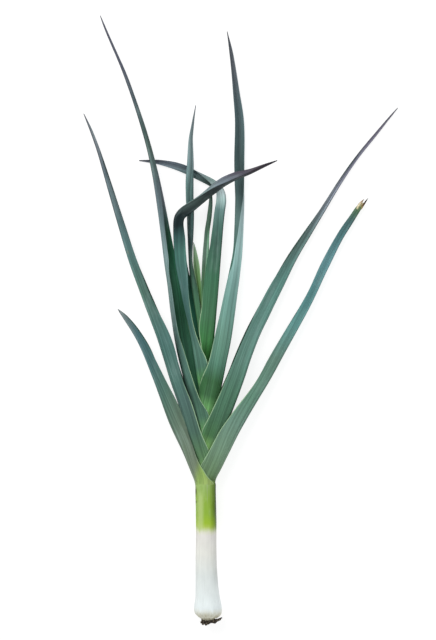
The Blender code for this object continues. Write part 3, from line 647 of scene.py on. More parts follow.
def solve_width(leaf, row, heading):
    """The half width that puts the front margin of this section on the leaf's front line.

    Where the section never gets there, it is the width that comes nearest.
    """
    side = leaf["side"]
    ys, xs = zip(*leaf["front"])
    widths = np.linspace(0.0, WIDEST, WIDTH_TRIES)
    front = section(leaf, row, heading, widths / WIDEST, 0.0, WIDEST)[len(widths) - 1 :: -1]
    far = sight(front[:, 2])
    x = EYE_X + (front[:, 0] - EYE_X) * far
    y = EYE_Y + (front[:, 1] - EYE_Y) * far
    short = side * (x - curve_through(ys, xs, y))
    reached = np.nonzero(short[KEEL_TRIES:] <= 0)[0]
    if not len(reached):
        return float(widths[np.argmin(short + 0.01 * widths)])
    i = reached[0] + KEEL_TRIES
    share = short[i - 1] / (short[i - 1] - short[i]) if short[i - 1] > 0 else 1.0
    return float(widths[i - 1] + share * (widths[i] - widths[i - 1]))


def leaf_sections(leaf, spacing, half_count, bow):
    """Dense sections of a leaf's middle surface and the rows that they come from."""
    rows = leaf["rows"]
    fractions = np.linspace(0.0, 1.0, half_count + 1) ** EVEN
    turned = headings(np.array([(leaf["side"] * row[1], row[0]) for row in rows], float))
    lifted = []
    for row, heading in zip(rows, turned):
        if row[2] is REST:
            trial = (row[0], row[1], TRIAL_HEIGHT, *row[3:])
            lowest = section(leaf, trial, heading, fractions, bow)[:, 2].min()
            height = TRIAL_HEIGHT - lowest + FLOOR_GAP + LIFT_OFF
        else:
            height = float(fan_height(row[0])) + row[2]
        lifted.append((row[0], row[1], height, *row[3:]))
    table = np.array(lifted, float)
    steps = np.linalg.norm(np.diff(table[:, :3], axis=0), axis=1)
    run = np.concatenate([[0.0], np.cumsum(steps)])
    at = np.linspace(0.0, run[-1], int(run[-1] / spacing) + 2)
    dense = np.stack([curve_through(run, table[:, k], at) for k in range(7)], axis=1)
    passes = int((ROW_BLEND / spacing) ** 2)
    for k in range(7):
        dense[:, k] = soften(dense[:, k], passes)
    closer = 1 / sight(dense[:, 2])
    raised = smoothstep(COLLAR, COLLAR + EYE_BLEND, dense[:, 0])
    closer = 1 + (closer - 1) * raised
    side_x = leaf["side"] * EYE_X
    dense[:, 1] = side_x + (dense[:, 1] - side_x) * closer
    dense[:, 0] = EYE_Y + (dense[:, 0] - EYE_Y) * closer
    turned = headings(np.stack([leaf["side"] * dense[:, 1], dense[:, 0]], axis=1))
    fronts = dense[:, 3].copy()
    if "front" in leaf:
        ys = [y for y, _ in leaf["front"]]
        held = smoothstep(ys[0] - 15, ys[0] - 5, dense[:, 0])
        held *= 1 - smoothstep(ys[-1] - FRONT_BLEND, ys[-1], dense[:, 0])
        for i in np.nonzero(held > 0)[0]:
            solved = solve_width(leaf, tuple(dense[i]), turned[i])
            fronts[i] = held[i] * solved + (1 - held[i]) * dense[i, 3]
        fronts = soften(fronts, passes // 2)
    found = []
    for row, heading, front in zip(dense, turned, fronts):
        points = section(leaf, tuple(row), heading, fractions, bow, front)
        points[:, 2] += max(0.0, FLOOR_GAP + LIFT_OFF - points[:, 2].min())
        found.append(points)
    distance = np.concatenate(
        [-fractions[:0:-1][None, :] * fronts[:, None], fractions[None, :] * dense[:, 3][:, None]],
        axis=1,
    )
    return np.array(found), dense[:, 3], fronts, distance, at


def walled(points, thickness):
    """Outer and inner walls of a surface grid, outer on the side away from the fold's opening."""
    d_along = np.gradient(points, axis=0)
    d_across = np.gradient(points, axis=1)
    normals = np.cross(d_along, d_across)
    normals /= np.maximum(np.linalg.norm(normals, axis=2), 1e-12)[:, :, None]
    middle = points.shape[1] // 2
    opening = (points[:, 0] + points[:, -1]) / 2 - points[:, middle]
    if (normals[:, middle] * opening).sum() > 0:
        normals = -normals
    half = thickness[:, :, None] / 2
    return points + normals * half, points - normals * half


def tube_mesh(name, points, rows, count, low, high, walls=None):
    """A closed, smooth tube of rows rings with count points each; low and high cap its ends."""
    faces = []
    for i in range(rows - 1):
        for j in range(count):
            k = (j + 1) % count
            faces.append((i * count + j, i * count + k, (i + 1) * count + k, (i + 1) * count + j))
    last = (rows - 1) * count
    for j in range(count):
        k = (j + 1) % count
        faces += [(k, j, low), (last + j, last + k, high)]
    mesh = bpy.data.meshes.new(name)
    mesh.from_pydata([tuple(v) for v in place(points)], [], faces)
    mesh.shade_smooth()
    if walls is not None:
        layer = mesh.attributes.new("wall", "INT", "FACE")
        layer.data.foreach_set("value", np.array(walls, np.int32))
    kit = bmesh.new()
    kit.from_mesh(mesh)
    bmesh.ops.recalc_face_normals(kit, faces=kit.faces)
    kit.to_mesh(mesh)
    kit.free()
    return mesh


def turned_mesh(name, rise, x, z, middles, walls=None):
    """A tube whose rings are given by their y and by the x and z of their points."""
    rows, count = x.shape
    y = np.repeat(rise[:, None], count, axis=1)
    ends = [(middles[0], rise[0], AXIS_Z), (middles[1], rise[-1], AXIS_Z)]
    points = np.concatenate([np.stack([x, y, z], axis=2).reshape(-1, 3), ends])
    return tube_mesh(name, points, rows, count, rows * count, rows * count + 1, walls)


def linked(name, data):
    """A new object with this data, in the scene."""
    thing = bpy.data.objects.new(name, data)
    bpy.context.scene.collection.objects.link(thing)
    return thing


def add_value(mesh, name, values):
    layer = mesh.attributes.new(name, "FLOAT", "POINT")
    layer.data.foreach_set("value", np.asarray(values, np.float32).ravel())


def add_uv(mesh, pairs):
    """A UV map from one (u, v) a vertex, in metres over the surface."""
    layer = mesh.uv_layers.new(name="surface")
    loops = np.empty(len(mesh.loops), np.int32)
    mesh.loops.foreach_get("vertex_index", loops)
    layer.data.foreach_set("uv", np.asarray(pairs, np.float32)[loops].ravel())


def skin_colours(leaf, key, y, distance, width):
    """Linear colour of each point of a blade's wall, from the leaf's table, with its painted light and shade.
    """
    table = np.array([(row[0], *tint(*row[1:])) for row in leaf.get(key, INSIDE)])
    at = y - leaf["slant"] * np.abs(distance)
    colour = np.stack([np.interp(at, table[:, 0], table[:, k]) for k in (1, 2, 3)], axis=-1)
    for spot, off, size, *ink in leaf.get("marks", []):
        weight = MARK_STRENGTH * np.exp(-(((y - spot) / size) ** 2) - ((distance - off) / size * 2) ** 2)
        colour = colour + weight[..., None] * (np.array(tint(*ink)) - colour)
    # Painted light and shade across the front half of the outside.
    if key == "outside" and "bands" in leaf:
        ys, strength = zip(*leaf["bands"]["rows"])
        shares, factors = zip(*leaf["bands"]["across"])
        change = np.interp(-distance / width, shares, factors) - 1
        colour = colour * (1 + change * np.interp(y, ys, strength))[..., None]
    # Painted shade on one wall.
    if key == leaf.get("shade", {}).get("wall", "outside" if "shade" in leaf else None):
        ys, factors = zip(*leaf["shade"]["rows"])
        weight = smoothstep(*leaf["shade"]["span"], -distance)
        colour = colour * (1 - weight * (1 - np.interp(y, ys, factors)))[..., None]
    return colour


def blade_mesh(name, leaf, settings):
    """A closed blade: outer wall, inner wall, rounded margins, capped base and pointed tip."""
    points, backs, fronts, distance, run = leaf_sections(
        leaf, settings.row_spacing / MM, settings.half_points, settings.bow
    )
    rows, count = distance.shape
    width = np.where(distance < 0, fronts[:, None], backs[:, None])
    edge = np.maximum(width - np.abs(distance), 0.0)
    along = (run / run[-1])[:, None]
    keel = np.exp(-((distance / (1.4 + 0.05 * width)) ** 2))
    full = settings.thickness / MM
    ridge = settings.keel_height / MM * keel
    thickness = full * (1 - BLADE_THINNING * along) + ridge * (1 - KEEL_FADING * along)
    thickness = thickness * (MARGIN_SHARE + (1 - MARGIN_SHARE) * smoothstep(0.0, MARGIN_ROUND, edge))
    thickness = thickness * np.minimum(1.0, width / MARGIN_ROUND)
    outer, inner = walled(points, thickness)
    size = 2 * count
    loop = np.concatenate([outer, inner[:, ::-1]], axis=1).reshape(-1, 3)
    tip = points[-1].mean(axis=0) + (points[-1] - points[-2]).mean(axis=0) * TIP_REACH
    loop = np.concatenate([loop, [tip, points[0].mean(axis=0)]])
    # Wall numbers, in the order of the relief group's materials: 0 outer, 1 inner, 2 margin.
    ring = [0 if j < count - 1 else 2 if j in (count - 1, size - 1) else 1 for j in range(size)]
    walls = ring * (rows - 1) + [0] * (2 * size)
    mesh = tube_mesh(name, loop, rows, size, rows * size + 1, rows * size, walls)

    def doubled(grid):
        both = np.concatenate([grid, grid[:, ::-1]], axis=1).reshape(rows * size, -1)
        return np.concatenate([both, both[-1:], both[:1]])

    add_value(mesh, "across", doubled(distance))
    add_value(mesh, "edge", doubled(edge))
    pale = 1 - smoothstep(leaf["pale"] - PALE_BEFORE, leaf["pale"] + PALE_AFTER, points[:, :, 1])
    add_value(mesh, "pale", doubled(pale))
    # The skin colour holds the tables' painted shade and painted highlights.
    walls_skin = [
        skin_colours(leaf, key, points[:, :, 1], distance, width) for key in ("outside", "inside")
    ]
    skin = np.concatenate([walls_skin[0], walls_skin[1][:, ::-1]], axis=1).reshape(-1, 3)
    skin = np.concatenate([skin, skin[-1:], skin[:1]])
    layer = mesh.attributes.new("skin", "FLOAT_COLOR", "POINT")
    layer.data.foreach_set("color", np.c_[skin, np.ones(len(skin))].astype(np.float32).ravel())
    shift = 1.7 * (list(LEAVES).index(name) + 1)
    u = doubled(distance)[:, 0] * MM
    v = doubled(np.repeat(run[:, None], count, axis=1))[:, 0] * MM + shift
    add_uv(mesh, np.stack([u, v], axis=1))
    return mesh


# ---------------------------------------------------------------- node helpers


class Tree:
    """Short words for adding and joining nodes."""

    def __init__(self, tree):
        self.tree = tree

    def node(self, kind, settings=None, **inputs):
        made = self.tree.nodes.new(kind)
        for key, value in (settings or {}).items():
            setattr(made, key, value)
        for key, value in inputs.items():
            self.feed(made, key.replace("_", " "), value)
        return made

    def feed(self, node, key, value):
        socket = node.inputs[int(key) if key.isdigit() else key]
        if isinstance(value, bpy.types.NodeSocket):
            self.tree.links.new(value, socket)
        else:
            socket.default_value = value

    def math(self, operation, a, b=0.0):
        made = self.node("ShaderNodeMath", {"operation": operation})
        self.feed(made, "0", a)
        self.feed(made, "1", b)
        return made.outputs[0]

    def times(self, a, b):
        return self.math("MULTIPLY", a, b)

    def plus(self, a, b):
        return self.math("ADD", a, b)

    def minus(self, a, b):
        return self.math("SUBTRACT", a, b)

    def absolute(self, a):
        return self.math("ABSOLUTE", a)

    def linear(self, value, low, high, to_low=0.0, to_high=1.0):
        return self.ramp(value, low, high, to_low, to_high, "LINEAR")

    def ramp(self, value, low, high, to_low=0.0, to_high=1.0, kind="SMOOTHSTEP"):
        made = self.node("ShaderNodeMapRange", {"interpolation_type": kind})
        for i, number in enumerate((value, low, high, to_low, to_high)):
            self.feed(made, str(i), number)
        return made.outputs[0]

    def attribute(self, name, output="Fac"):
        return self.node("ShaderNodeAttribute", {"attribute_name": name}).outputs[output]

    def colours(self, value, stops, kind="EASE"):
        """A colour ramp. Its points are placed twice, as the first pass puts them in order."""
        made = self.tree.nodes.new("ShaderNodeValToRGB")
        made.color_ramp.interpolation = kind
        points = made.color_ramp.elements
        for extra in range(len(stops) - 2):
            points.new(0.5)
        for point, (at, colour) in zip(points, stops):
            point.position = at
        for point, (at, colour) in zip(points, stops):
            point.position = at
            point.color = (*colour, 1.0)
        self.feed(made, "0", value)
        return made.outputs[0]

    def mix(self, factor, a, b, blend="MIX"):
        made = self.node("ShaderNodeMix", {"data_type": "RGBA", "blend_type": blend})
        for key, value in (("0", factor), ("6", a), ("7", b)):
            if isinstance(value, tuple) and len(value) == 3:
                value = (*value, 1.0)
            self.feed(made, key, value)
        return made.outputs[2]

    def shaded(self, colour, factor):
        """The colour times one factor for all its channels."""
        grey = self.node("ShaderNodeCombineColor")
        for channel in "012":
            self.feed(grey, channel, factor)
        return self.mix(1.0, colour, grey.outputs[0], "MULTIPLY")

    def noise(self, vector, scale, detail=2.0, roughness=0.5):
        made = self.node("ShaderNodeTexNoise", Vector=vector, Scale=scale, Detail=detail, Roughness=roughness)
        return made.outputs["Fac"]

    def stretched(self, vector, scale, detail=2.0, roughness=0.5):
        """Noise with its own number of cells a metre along each axis."""
        made = self.node("ShaderNodeMapping", Vector=vector, Scale=scale)
        return self.noise(made.outputs[0], 1.0, detail, roughness)

    def object_point(self):
        return self.node("ShaderNodeTexCoord").outputs["Object"]

    def surface_point(self):
        return self.node("ShaderNodeUVMap", {"uv_map": "surface"}).outputs[0]


def new_material(name, roughness, specular=0.5):
    made = bpy.data.materials.new(name)
    made.use_nodes = True
    shader = made.node_tree.nodes["Principled BSDF"]
    shader.inputs["Roughness"].default_value = roughness
    shader.inputs["Specular IOR Level"].default_value = specular
    return made, Tree(made.node_tree), shader


def bumped(tree, shader, height, distance):
    made = tree.node("ShaderNodeBump", Height=height, Distance=distance, Strength=1.0)
    tree.feed(shader, "Normal", made.outputs[0])


def leaf_material(name, settings, inner):
    """Waxy leaf skin: the blade's colour with its painted shade and highlights, veins, painted shade on the
    keel and in the fold, a painted highlight by the keel, wax bloom and pale margins.
    """
    made, tree, shader = new_material(name, 0.5, 0.12)
    colour = tree.attribute("skin", "Color")
    edge, across, pale = (tree.attribute(n) for n in ("edge", "across", "pale"))
    uv = tree.surface_point()
    off_keel = tree.absolute(across)
    streak = tree.stretched(uv, (620.0, 7.0, 1.0), 3.0, 0.6)
    band = tree.stretched(uv, (230.0, 2.5, 1.0), 2.0)
    patch = tree.stretched(uv, (60.0, 14.0, 1.0), 4.0, 0.6)
    speck = tree.stretched(uv, (900.0, 420.0, 1.0), 2.0)
    bloom = tree.ramp(patch, 0.48, 0.75, 0.0, settings.bloom * (0.2 if inner else 1.0))
    bloom = tree.times(bloom, tree.ramp(pale, 0.0, 1.0, 1.0, 0.25))
    colour = tree.mix(bloom, colour, tint(168, 190, 188))
    veins = tree.math("SINE", tree.times(across, 2 * math.pi / VEIN_SPACING))
    tone_and_shading = tree.plus(tree.linear(streak, 0.28, 0.72, 0.72, 1.3), tree.times(veins, 0.05))
    tone_and_shading = tree.times(tone_and_shading, tree.linear(band, 0.3, 0.7, 0.8, 1.2))
    tone_and_shading = tree.times(tone_and_shading, tree.ramp(speck, 0.62, 0.8, 1.0, 1.2))
    # Painted shade: the inside darker towards the keel, deep in the fold; the outside darker on the keel
    # itself.
    if inner:
        tone_and_shading = tree.times(tone_and_shading, tree.ramp(off_keel, 0.5, 9.0, settings.fold_shade, 1.12))
    else:
        tone_and_shading = tree.times(tone_and_shading, tree.ramp(off_keel, 0.5, 2.0, 0.72, 1.0))
        # Painted highlight in a band about 3.2 mm from the keel.
        light = tree.minus(off_keel, 3.2)
        light = tree.ramp(tree.absolute(light), 0.0, 2.6, 1.16, 1.0)
        tone_and_shading = tree.times(tone_and_shading, light)
    colour = tree.shaded(colour, tone_and_shading)
    rim = tree.times(tree.ramp(edge, 0.5, 1.5, 0.9, 0.0), pale)
    colour = tree.mix(rim, colour, settings.margin_colour[:])
    tree.feed(shader, "Base Color", colour)
    tree.feed(shader, "Roughness", tree.linear(streak, 0.2, 0.8, 0.40, 0.56))
    height = tree.plus(streak, tree.times(veins, 0.3))
    bumped(tree, shader, height, 0.0003)
    return made


def margin_material(settings):
    """The thin margin: pale low on the leaf, and the colour of the skin further out."""
    made, tree, shader = new_material("leaf_margin", 0.5, 0.3)
    colour = tree.mix(tree.attribute("pale"), tree.attribute("skin", "Color"), settings.margin_colour[:])
    grain = tree.stretched(tree.surface_point(), (500.0, 40.0, 1.0))
    colour = tree.mix(tree.ramp(grain, 0.3, 0.7, 0.0, 0.3), colour, tint(104, 140, 96))
    tree.feed(shader, "Base Color", colour)
    return made


def new_group(name, numbers, seed, materials):
    """An empty Geometry Nodes group with named inputs: its tree, its inputs and its output node."""
    group = bpy.data.node_groups.new(name, "GeometryNodeTree")

    def socket(label, kind, default=None):
        made = group.interface.new_socket(label, in_out="INPUT", socket_type="NodeSocket" + kind)
        if default is not None:
            made.default_value = default

    socket("Geometry", "Geometry")
    for label, default in numbers:
        socket(label, "Float", default)
    socket("Seed", "Int", seed)
    for label in materials:
        socket(label, "Material")
    group.interface.new_socket("Geometry", in_out="OUTPUT", socket_type="NodeSocketGeometry")
    tree = Tree(group)
    return tree, tree.node("NodeGroupInput").outputs, tree.node("NodeGroupOutput")


def relief_group():
    """Geometry Nodes: raised ribs that run along a surface, and slow waves, then its materials."""
    name = "leek_relief"
    if name in bpy.data.node_groups:
        return bpy.data.node_groups[name]
    walls = ("Outer Material", "Inner Material", "Rim Material")
    tree, given, end = new_group(name, [
        ("Rib Spacing", 0.002), ("Rib Height", 0.0001), ("Wave Length", 0.03), ("Wave Height", 0.0003),
    ], 7, walls)

    def named(label, kind="FLOAT"):
        made = tree.node("GeometryNodeInputNamedAttribute", {"data_type": kind}, Name=label)
        return made.outputs["Attribute"]

    across = tree.times(named("across"), MM)
    phase = tree.times(tree.math("DIVIDE", across, given["Rib Spacing"]), 2 * math.pi)
    ribs = tree.times(tree.math("COSINE", phase), given["Rib Height"])
    ribs = tree.times(ribs, tree.ramp(named("edge"), 0.5, 4.0))
    wave = tree.node(
        "ShaderNodeTexNoise", {"noise_dimensions": "4D"}, Detail=1.0, W=given["Seed"],
        Vector=tree.node("GeometryNodeInputPosition").outputs[0],
        Scale=tree.math("DIVIDE", 1.0, given["Wave Length"]),
    )
    swell = tree.times(tree.minus(wave.outputs["Fac"], 0.5), given["Wave Height"])
    push = tree.node("ShaderNodeVectorMath", {"operation": "SCALE"}, Scale=tree.plus(ribs, swell))
    tree.feed(push, "0", tree.node("GeometryNodeInputNormal").outputs[0])
    moved = tree.node("GeometryNodeSetPosition", Geometry=given["Geometry"], Offset=push.outputs[0])
    flow = tree.node("GeometryNodeRealizeInstances", Geometry=moved.outputs[0]).outputs[0]
    for number, label in enumerate(walls):
        pick = tree.node("FunctionNodeCompare", {"data_type": "INT", "operation": "EQUAL"})
        tree.feed(pick, "2", named("wall", "INT"))
        tree.feed(pick, "3", number)
        flow = tree.node(
            "GeometryNodeSetMaterial", Geometry=flow, Selection=pick.outputs[0], Material=given[label]
        ).outputs[0]
    tree.feed(end, "0", flow)
    return tree.tree


def grown(name, mesh, group, **inputs):
    """Runs a Geometry Nodes group on a mesh and returns the result as a plain mesh object."""
    seedling = linked(name + "_source", mesh)
    modifier = seedling.modifiers.new("nodes", "NODES")
    modifier.node_group = group
    for item in group.interface.items_tree:
        key = item.name.lower().replace(" ", "_")
        if item.in_out == "INPUT" and key in inputs:
            modifier[item.identifier] = inputs[key]
    bpy.context.view_layer.update()
    graph = bpy.context.evaluated_depsgraph_get()
    baked = bpy.data.meshes.new_from_object(
        seedling.evaluated_get(graph), preserve_all_data_layers=True, depsgraph=graph
    )
    bpy.data.objects.remove(seedling, do_unlink=True)
    baked.name = name
    if not baked.polygons:
        raise RuntimeError(name + " came out of its nodes with no faces")
    return linked(name, baked)


def stands_for(piece, slot, *nodes):
    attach(piece, "root")
    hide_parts(*nodes)


# ---------------------------------------------------------------- settings


class LeekLeafSettings(bpy.types.PropertyGroup):
    """Sizes and colours of the leaves"""

    thickness: bpy.props.FloatProperty(
        name="Thickness", description="Thickness of a blade near the collar", default=0.0008, unit="LENGTH"
    )
    keel_height: bpy.props.FloatProperty(
        name="Keel", description="Extra thickness along the keel", default=0.0007, unit="LENGTH"
    )
    bow: bpy.props.FloatProperty(
        name="Bow", description="How far each half bulges outwards, as a share of its width", default=0.05
    )
    rib_spacing: bpy.props.FloatProperty(
        name="Rib spacing", description="Distance from rib to rib", default=0.0022, unit="LENGTH"
    )
    rib_height: bpy.props.FloatProperty(
        name="Rib height", description="Height of the ribs", default=0.00007, unit="LENGTH"
    )
    wave_length: bpy.props.FloatProperty(
        name="Wave length", description="Length of the slow waves in a blade", default=0.05, unit="LENGTH"
    )
    wave_height: bpy.props.FloatProperty(
        name="Wave height", description="Height of the slow waves in a blade", default=0.0008, unit="LENGTH"
    )
    row_spacing: bpy.props.FloatProperty(
        name="Row spacing", description="Distance between a blade's sections", default=0.002, unit="LENGTH"
    )
    half_points: bpy.props.IntProperty(
        name="Points", description="Points on each half of a section", default=26, min=4
    )
    fold_shade: bpy.props.FloatProperty(
        name="Fold shade", description="Darkness of the inside along the keel", default=0.7, min=0.0, max=1.0,
        subtype="FACTOR",
    )
    margin_colour: bpy.props.FloatVectorProperty(
        name="Margin", description="Colour of the thin margins", subtype="COLOR", default=tint(164, 198, 158)
    )
    bloom: bpy.props.FloatProperty(
        name="Bloom", description="Strength of the pale wax", default=0.22, min=0.0, max=1.0, subtype="FACTOR"
    )


class LeekShankSettings(bpy.types.PropertyGroup):
    """Sizes and colours of the shank, the root plate and the roots"""

    rib_spacing: bpy.props.FloatProperty(
        name="Rib spacing", description="Distance between the sheath's veins", default=0.0019, unit="LENGTH"
    )
    rib_height: bpy.props.FloatProperty(
        name="Rib height", description="Height of the sheath's veins", default=0.00005, unit="LENGTH"
    )
    white_colour: bpy.props.FloatVectorProperty(
        name="White", description="Colour of the blanched shank", subtype="COLOR", default=tint(240, 249, 249)
    )
    green_colour: bpy.props.FloatVectorProperty(
        name="Green", description="Colour above the white part", subtype="COLOR", default=tint(166, 202, 60)
    )
    collar_colour: bpy.props.FloatVectorProperty(
        name="Collar", description="Colour at the collar", subtype="COLOR", default=tint(150, 182, 98)
    )
    root_radius: bpy.props.FloatProperty(
        name="Root radius", description="Radius of a root at the root plate", default=0.0018, unit="LENGTH"
    )
    root_colour: bpy.props.FloatVectorProperty(
        name="Root", description="Colour of the dried roots", subtype="COLOR", default=tint(58, 50, 44)
    )


class LeekStageSettings(bpy.types.PropertyGroup):
    """Floor, lights and camera"""

    floor_size: bpy.props.FloatProperty(
        name="Floor", description="Side of the square floor", default=12.0, unit="LENGTH"
    )
    key_power: bpy.props.FloatProperty(
        name="Key", description="Power of the large key light", default=26.0, unit="POWER"
    )
    fill_strength: bpy.props.FloatProperty(
        name="Fill", description="Strength of the light from all around", default=0.5
    )
    lens: bpy.props.FloatProperty(
        name="Lens", description="Focal length in millimetres", default=100.0
    )
    camera_height: bpy.props.FloatProperty(
        name="Height", description="Height of the camera over the surface", default=2.497, unit="LENGTH"
    )


# ---------------------------------------------------------------- operators


class LEEK_OT_shank(bpy.types.Operator):
    """Build the shank with its bulb"""

    bl_idname = "leek.shank"
    bl_label = "Shank"

    def execute(self, context):
        settings = context.scene.leek_shank
        ys, lefts, rights = zip(*SHANK_EDGES)
        rise = np.concatenate([
            np.linspace(ys[0], BULB_TOP, BULB_RINGS)[:-1],
            np.linspace(BULB_TOP, NECK, STEM_RINGS)[:-1],
            np.linspace(NECK, ys[-1], NECK_RINGS),
        ])
        left, right = curve_through(ys, lefts, rise), curve_through(ys, rights, rise)
        radius, middle = (right - left) / 2, (right + left) / 2
        angle = np.linspace(0.0, 2 * math.pi, SHANK_POINTS, endpoint=False)
        creases = sum(
            depth * np.exp(-((np.angle(np.exp(1j * (angle - math.radians(at)))) / wide) ** 2))
            for at, depth, wide in CREASES
        )
        lobed = (1 - smoothstep(12.0, 32.0, rise))[:, None]
        soft = 0.018 * np.cos(5 * angle + 0.6) + 0.010 * np.cos(9 * angle + 2.1)
        r = radius[:, None] * (1 + lobed * (soft - creases)[None, :])
        x = middle[:, None] + r * np.cos(angle)[None, :]
        z = AXIS_Z + r * np.sin(angle)[None, :]
        z = np.maximum(z, SHANK_GAP)
        walls = [0] * ((len(rise) + 1) * SHANK_POINTS)
        mesh = turned_mesh("shank_skin", rise, x, z, (middle[0], middle[-1]), walls)
        whole = np.ones((len(rise), SHANK_POINTS))
        inside = 6.0 * (1 - smoothstep(194.0, 200.0, rise))[:, None]
        for name, grid, ends in (
            ("across", whole * angle * ROUND_VEINS, (0.0, 0.0)),
            ("edge", whole * inside, (0.0, 0.0)),
            ("height", whole * rise[:, None], (rise[0], rise[-1])),
        ):
            add_value(mesh, name, np.concatenate([grid.ravel(), ends]))
        skin = shank_material(settings)
        piece = grown(
            "shank_skin", mesh, relief_group(), rib_spacing=settings.rib_spacing,
            rib_height=settings.rib_height, wave_length=0.03, wave_height=0.0005, seed=3,
            outer_material=skin, inner_material=skin, rim_material=skin,
        )
        stands_for(piece, "shank", "shank")
        return {"FINISHED"}


def shank_material(settings):
    """Blanched white skin that turns yellow-green and green towards the collar, with a painted highlight
    stripe and painted shade along its sides.
    """
    made, tree, shader = new_material("shank_skin", 0.38, 0.4)
    height = tree.attribute("height")
    spot = tree.object_point()
    parts = tree.node("ShaderNodeSeparateXYZ", Vector=spot)
    x = tree.minus(tree.math("DIVIDE", parts.outputs[0], MM), AXIS_X)
    streak = tree.stretched(spot, (620.0, 8.0, 620.0), 3.0, 0.6)
    band = tree.stretched(spot, (190.0, 9.0, 190.0), 2.0)
    cloud = tree.stretched(spot, (110.0, 60.0, 110.0), 3.0, 0.55)
    edge = tree.plus(height, tree.linear(band, 0.25, 0.75, -2.5, 2.5))
    edge = tree.plus(edge, tree.linear(streak, 0.25, 0.75, -1.5, 1.5))
    colour = tree.colours(tree.linear(edge, 0.0, 210.0), [
        (0.0, tint(206, 200, 164)),
        (0.075, tint(226, 226, 208)),
        (0.12, settings.white_colour[:]),
        (0.33, tint(230, 237, 234)),
        (0.48, tint(238, 239, 231)),
        (0.6, tint(236, 234, 228)),
        (0.625, tint(228, 230, 206)),
        (0.642, tint(208, 222, 160)),
        (0.658, tint(184, 208, 96)),
        (0.682, settings.green_colour[:]),
        (0.75, tint(150, 188, 68)),
        (0.85, tint(148, 184, 74)),
        (0.93, settings.collar_colour[:]),
        (1.0, settings.collar_colour[:]),
    ], "LINEAR")
    green = tree.ramp(edge, 129.0, 140.0)

    def over(base, factor, shade):
        return tree.mix(tree.times(factor, green), base, shade)

    # Painted highlight: a pale stripe left of the middle, below the collar.
    below = tree.ramp(height, 176.0, 193.0, 1.0, 0.0)
    pale = tree.ramp(tree.absolute(tree.plus(x, 7.0)), 1.0, 6.5, 0.62, 0.0)
    colour = over(colour, tree.times(pale, below), tint(194, 213, 142))
    colour = over(colour, tree.ramp(cloud, 0.45, 0.7, 0.0, 0.45), tint(172, 200, 128))
    upper = tree.ramp(height, 138.0, 165.0, 0.45, 1.0)
    above = tree.ramp(tree.math("DIVIDE", parts.outputs[2], MM), 12.0, 18.0)
    upper = tree.times(upper, tree.ramp(above, 0.0, 1.0, 0.5, 1.0))
    # Painted shade: the right side darker green on the upper part, its far edge near black.
    for low, high, most, ink in (
        (4.0, 12.5, 0.9, tint(92, 122, 24)),
        (11.6, 14.2, 0.8, tint(34, 50, 6)),
    ):
        side = tree.times(tree.ramp(x, low, high, 0.0, most), upper)
        colour = over(colour, side, ink)
    for middle, length in ((172.5, 2.2), (187.0, 8.0)):
        mark = tree.ramp(tree.absolute(tree.minus(height, middle)), 0.4, length, 0.85, 0.0)
        mark = tree.times(mark, tree.ramp(x, -11.6, -13.4))
        mark = tree.times(mark, tree.ramp(above, 0.5, 1.0))
        colour = over(colour, mark, tint(74, 72, 30))
    shade = tree.linear(streak, 0.25, 0.75, 0.93, 1.05)
    shade = tree.times(shade, tree.linear(cloud, 0.3, 0.7, 0.965, 1.03))
    tree.feed(shader, "Specular IOR Level", tree.ramp(height, 128.0, 142.0, 0.4, 0.08))
    # Painted shade: darker towards the right edge over the stem, and slightly towards the left edge.
    right_edge_shade = tree.times(tree.ramp(x, 8.0, 16.0, 0.0, 0.2), tree.ramp(height, 36.0, 80.0))
    shade = tree.minus(shade, right_edge_shade)
    shade = tree.minus(shade, tree.ramp(x, -9.0, -14.5, 0.0, 0.1))
    colour = tree.shaded(colour, shade)
    vein = tree.ramp(streak, 0.56, 0.72, 0.0, 0.35)
    colour = tree.mix(tree.times(vein, tree.ramp(height, 16.0, 60.0)), colour, tint(186, 188, 178))
    # Olive patches, strongest at the bulb's underside and gone by y 22.
    low_patches = tree.stretched(spot, (120.0, 70.0, 120.0), 4.0, 0.65)
    low_olive = tree.times(tree.ramp(height, 12.5, 22.0, 0.8, 0.0), tree.ramp(low_patches, 0.35, 0.7))
    colour = tree.mix(low_olive, colour, tint(150, 140, 96))
    tree.feed(shader, "Base Color", colour)
    tree.feed(shader, "Roughness", tree.linear(streak, 0.2, 0.8, 0.30, 0.45))
    bumped(tree, shader, streak, 0.0002)
    return made


class LEEK_OT_root_plate(bpy.types.Operator):
    """Build the short root plate under the bulb"""

    bl_idname = "leek.root_plate"
    bl_label = "Root plate"

    def execute(self, context):
        ys, radii = np.array(PLATE).T
        rise = np.linspace(ys[0], ys[-1], PLATE_RINGS)
        angle = np.linspace(0.0, 2 * math.pi, PLATE_POINTS, endpoint=False)
        rough = 1 + 0.05 * np.cos(7 * angle + 1.0) + 0.03 * np.cos(17 * angle) + 0.02 * np.cos(29 * angle + 2)
        radius = curve_through(-ys, radii, -rise)[:, None] * rough[None, :]
        x = radius * np.cos(angle) + PLATE_SHIFT
        z = AXIS_Z + radius * np.sin(angle)
        mesh = turned_mesh("root_plate_disc", rise, x, z, (PLATE_SHIFT, PLATE_SHIFT))
        made, tree, shader = new_material("root_plate_skin", 0.75, 0.3)
        spot = tree.object_point()
        grain = tree.noise(spot, 700.0, 4.0, 0.65)
        colour = tree.colours(grain, [
            (0.3, tint(84, 78, 62)), (0.48, tint(170, 166, 140)), (0.7, tint(226, 224, 204)),
        ])
        tree.feed(shader, "Base Color", colour)
        bumped(tree, shader, grain, 0.0006)
        mesh.materials.append(made)
        stands_for(linked("root_plate_disc", mesh), "root_plate", "root_plate")
        return {"FINISHED"}


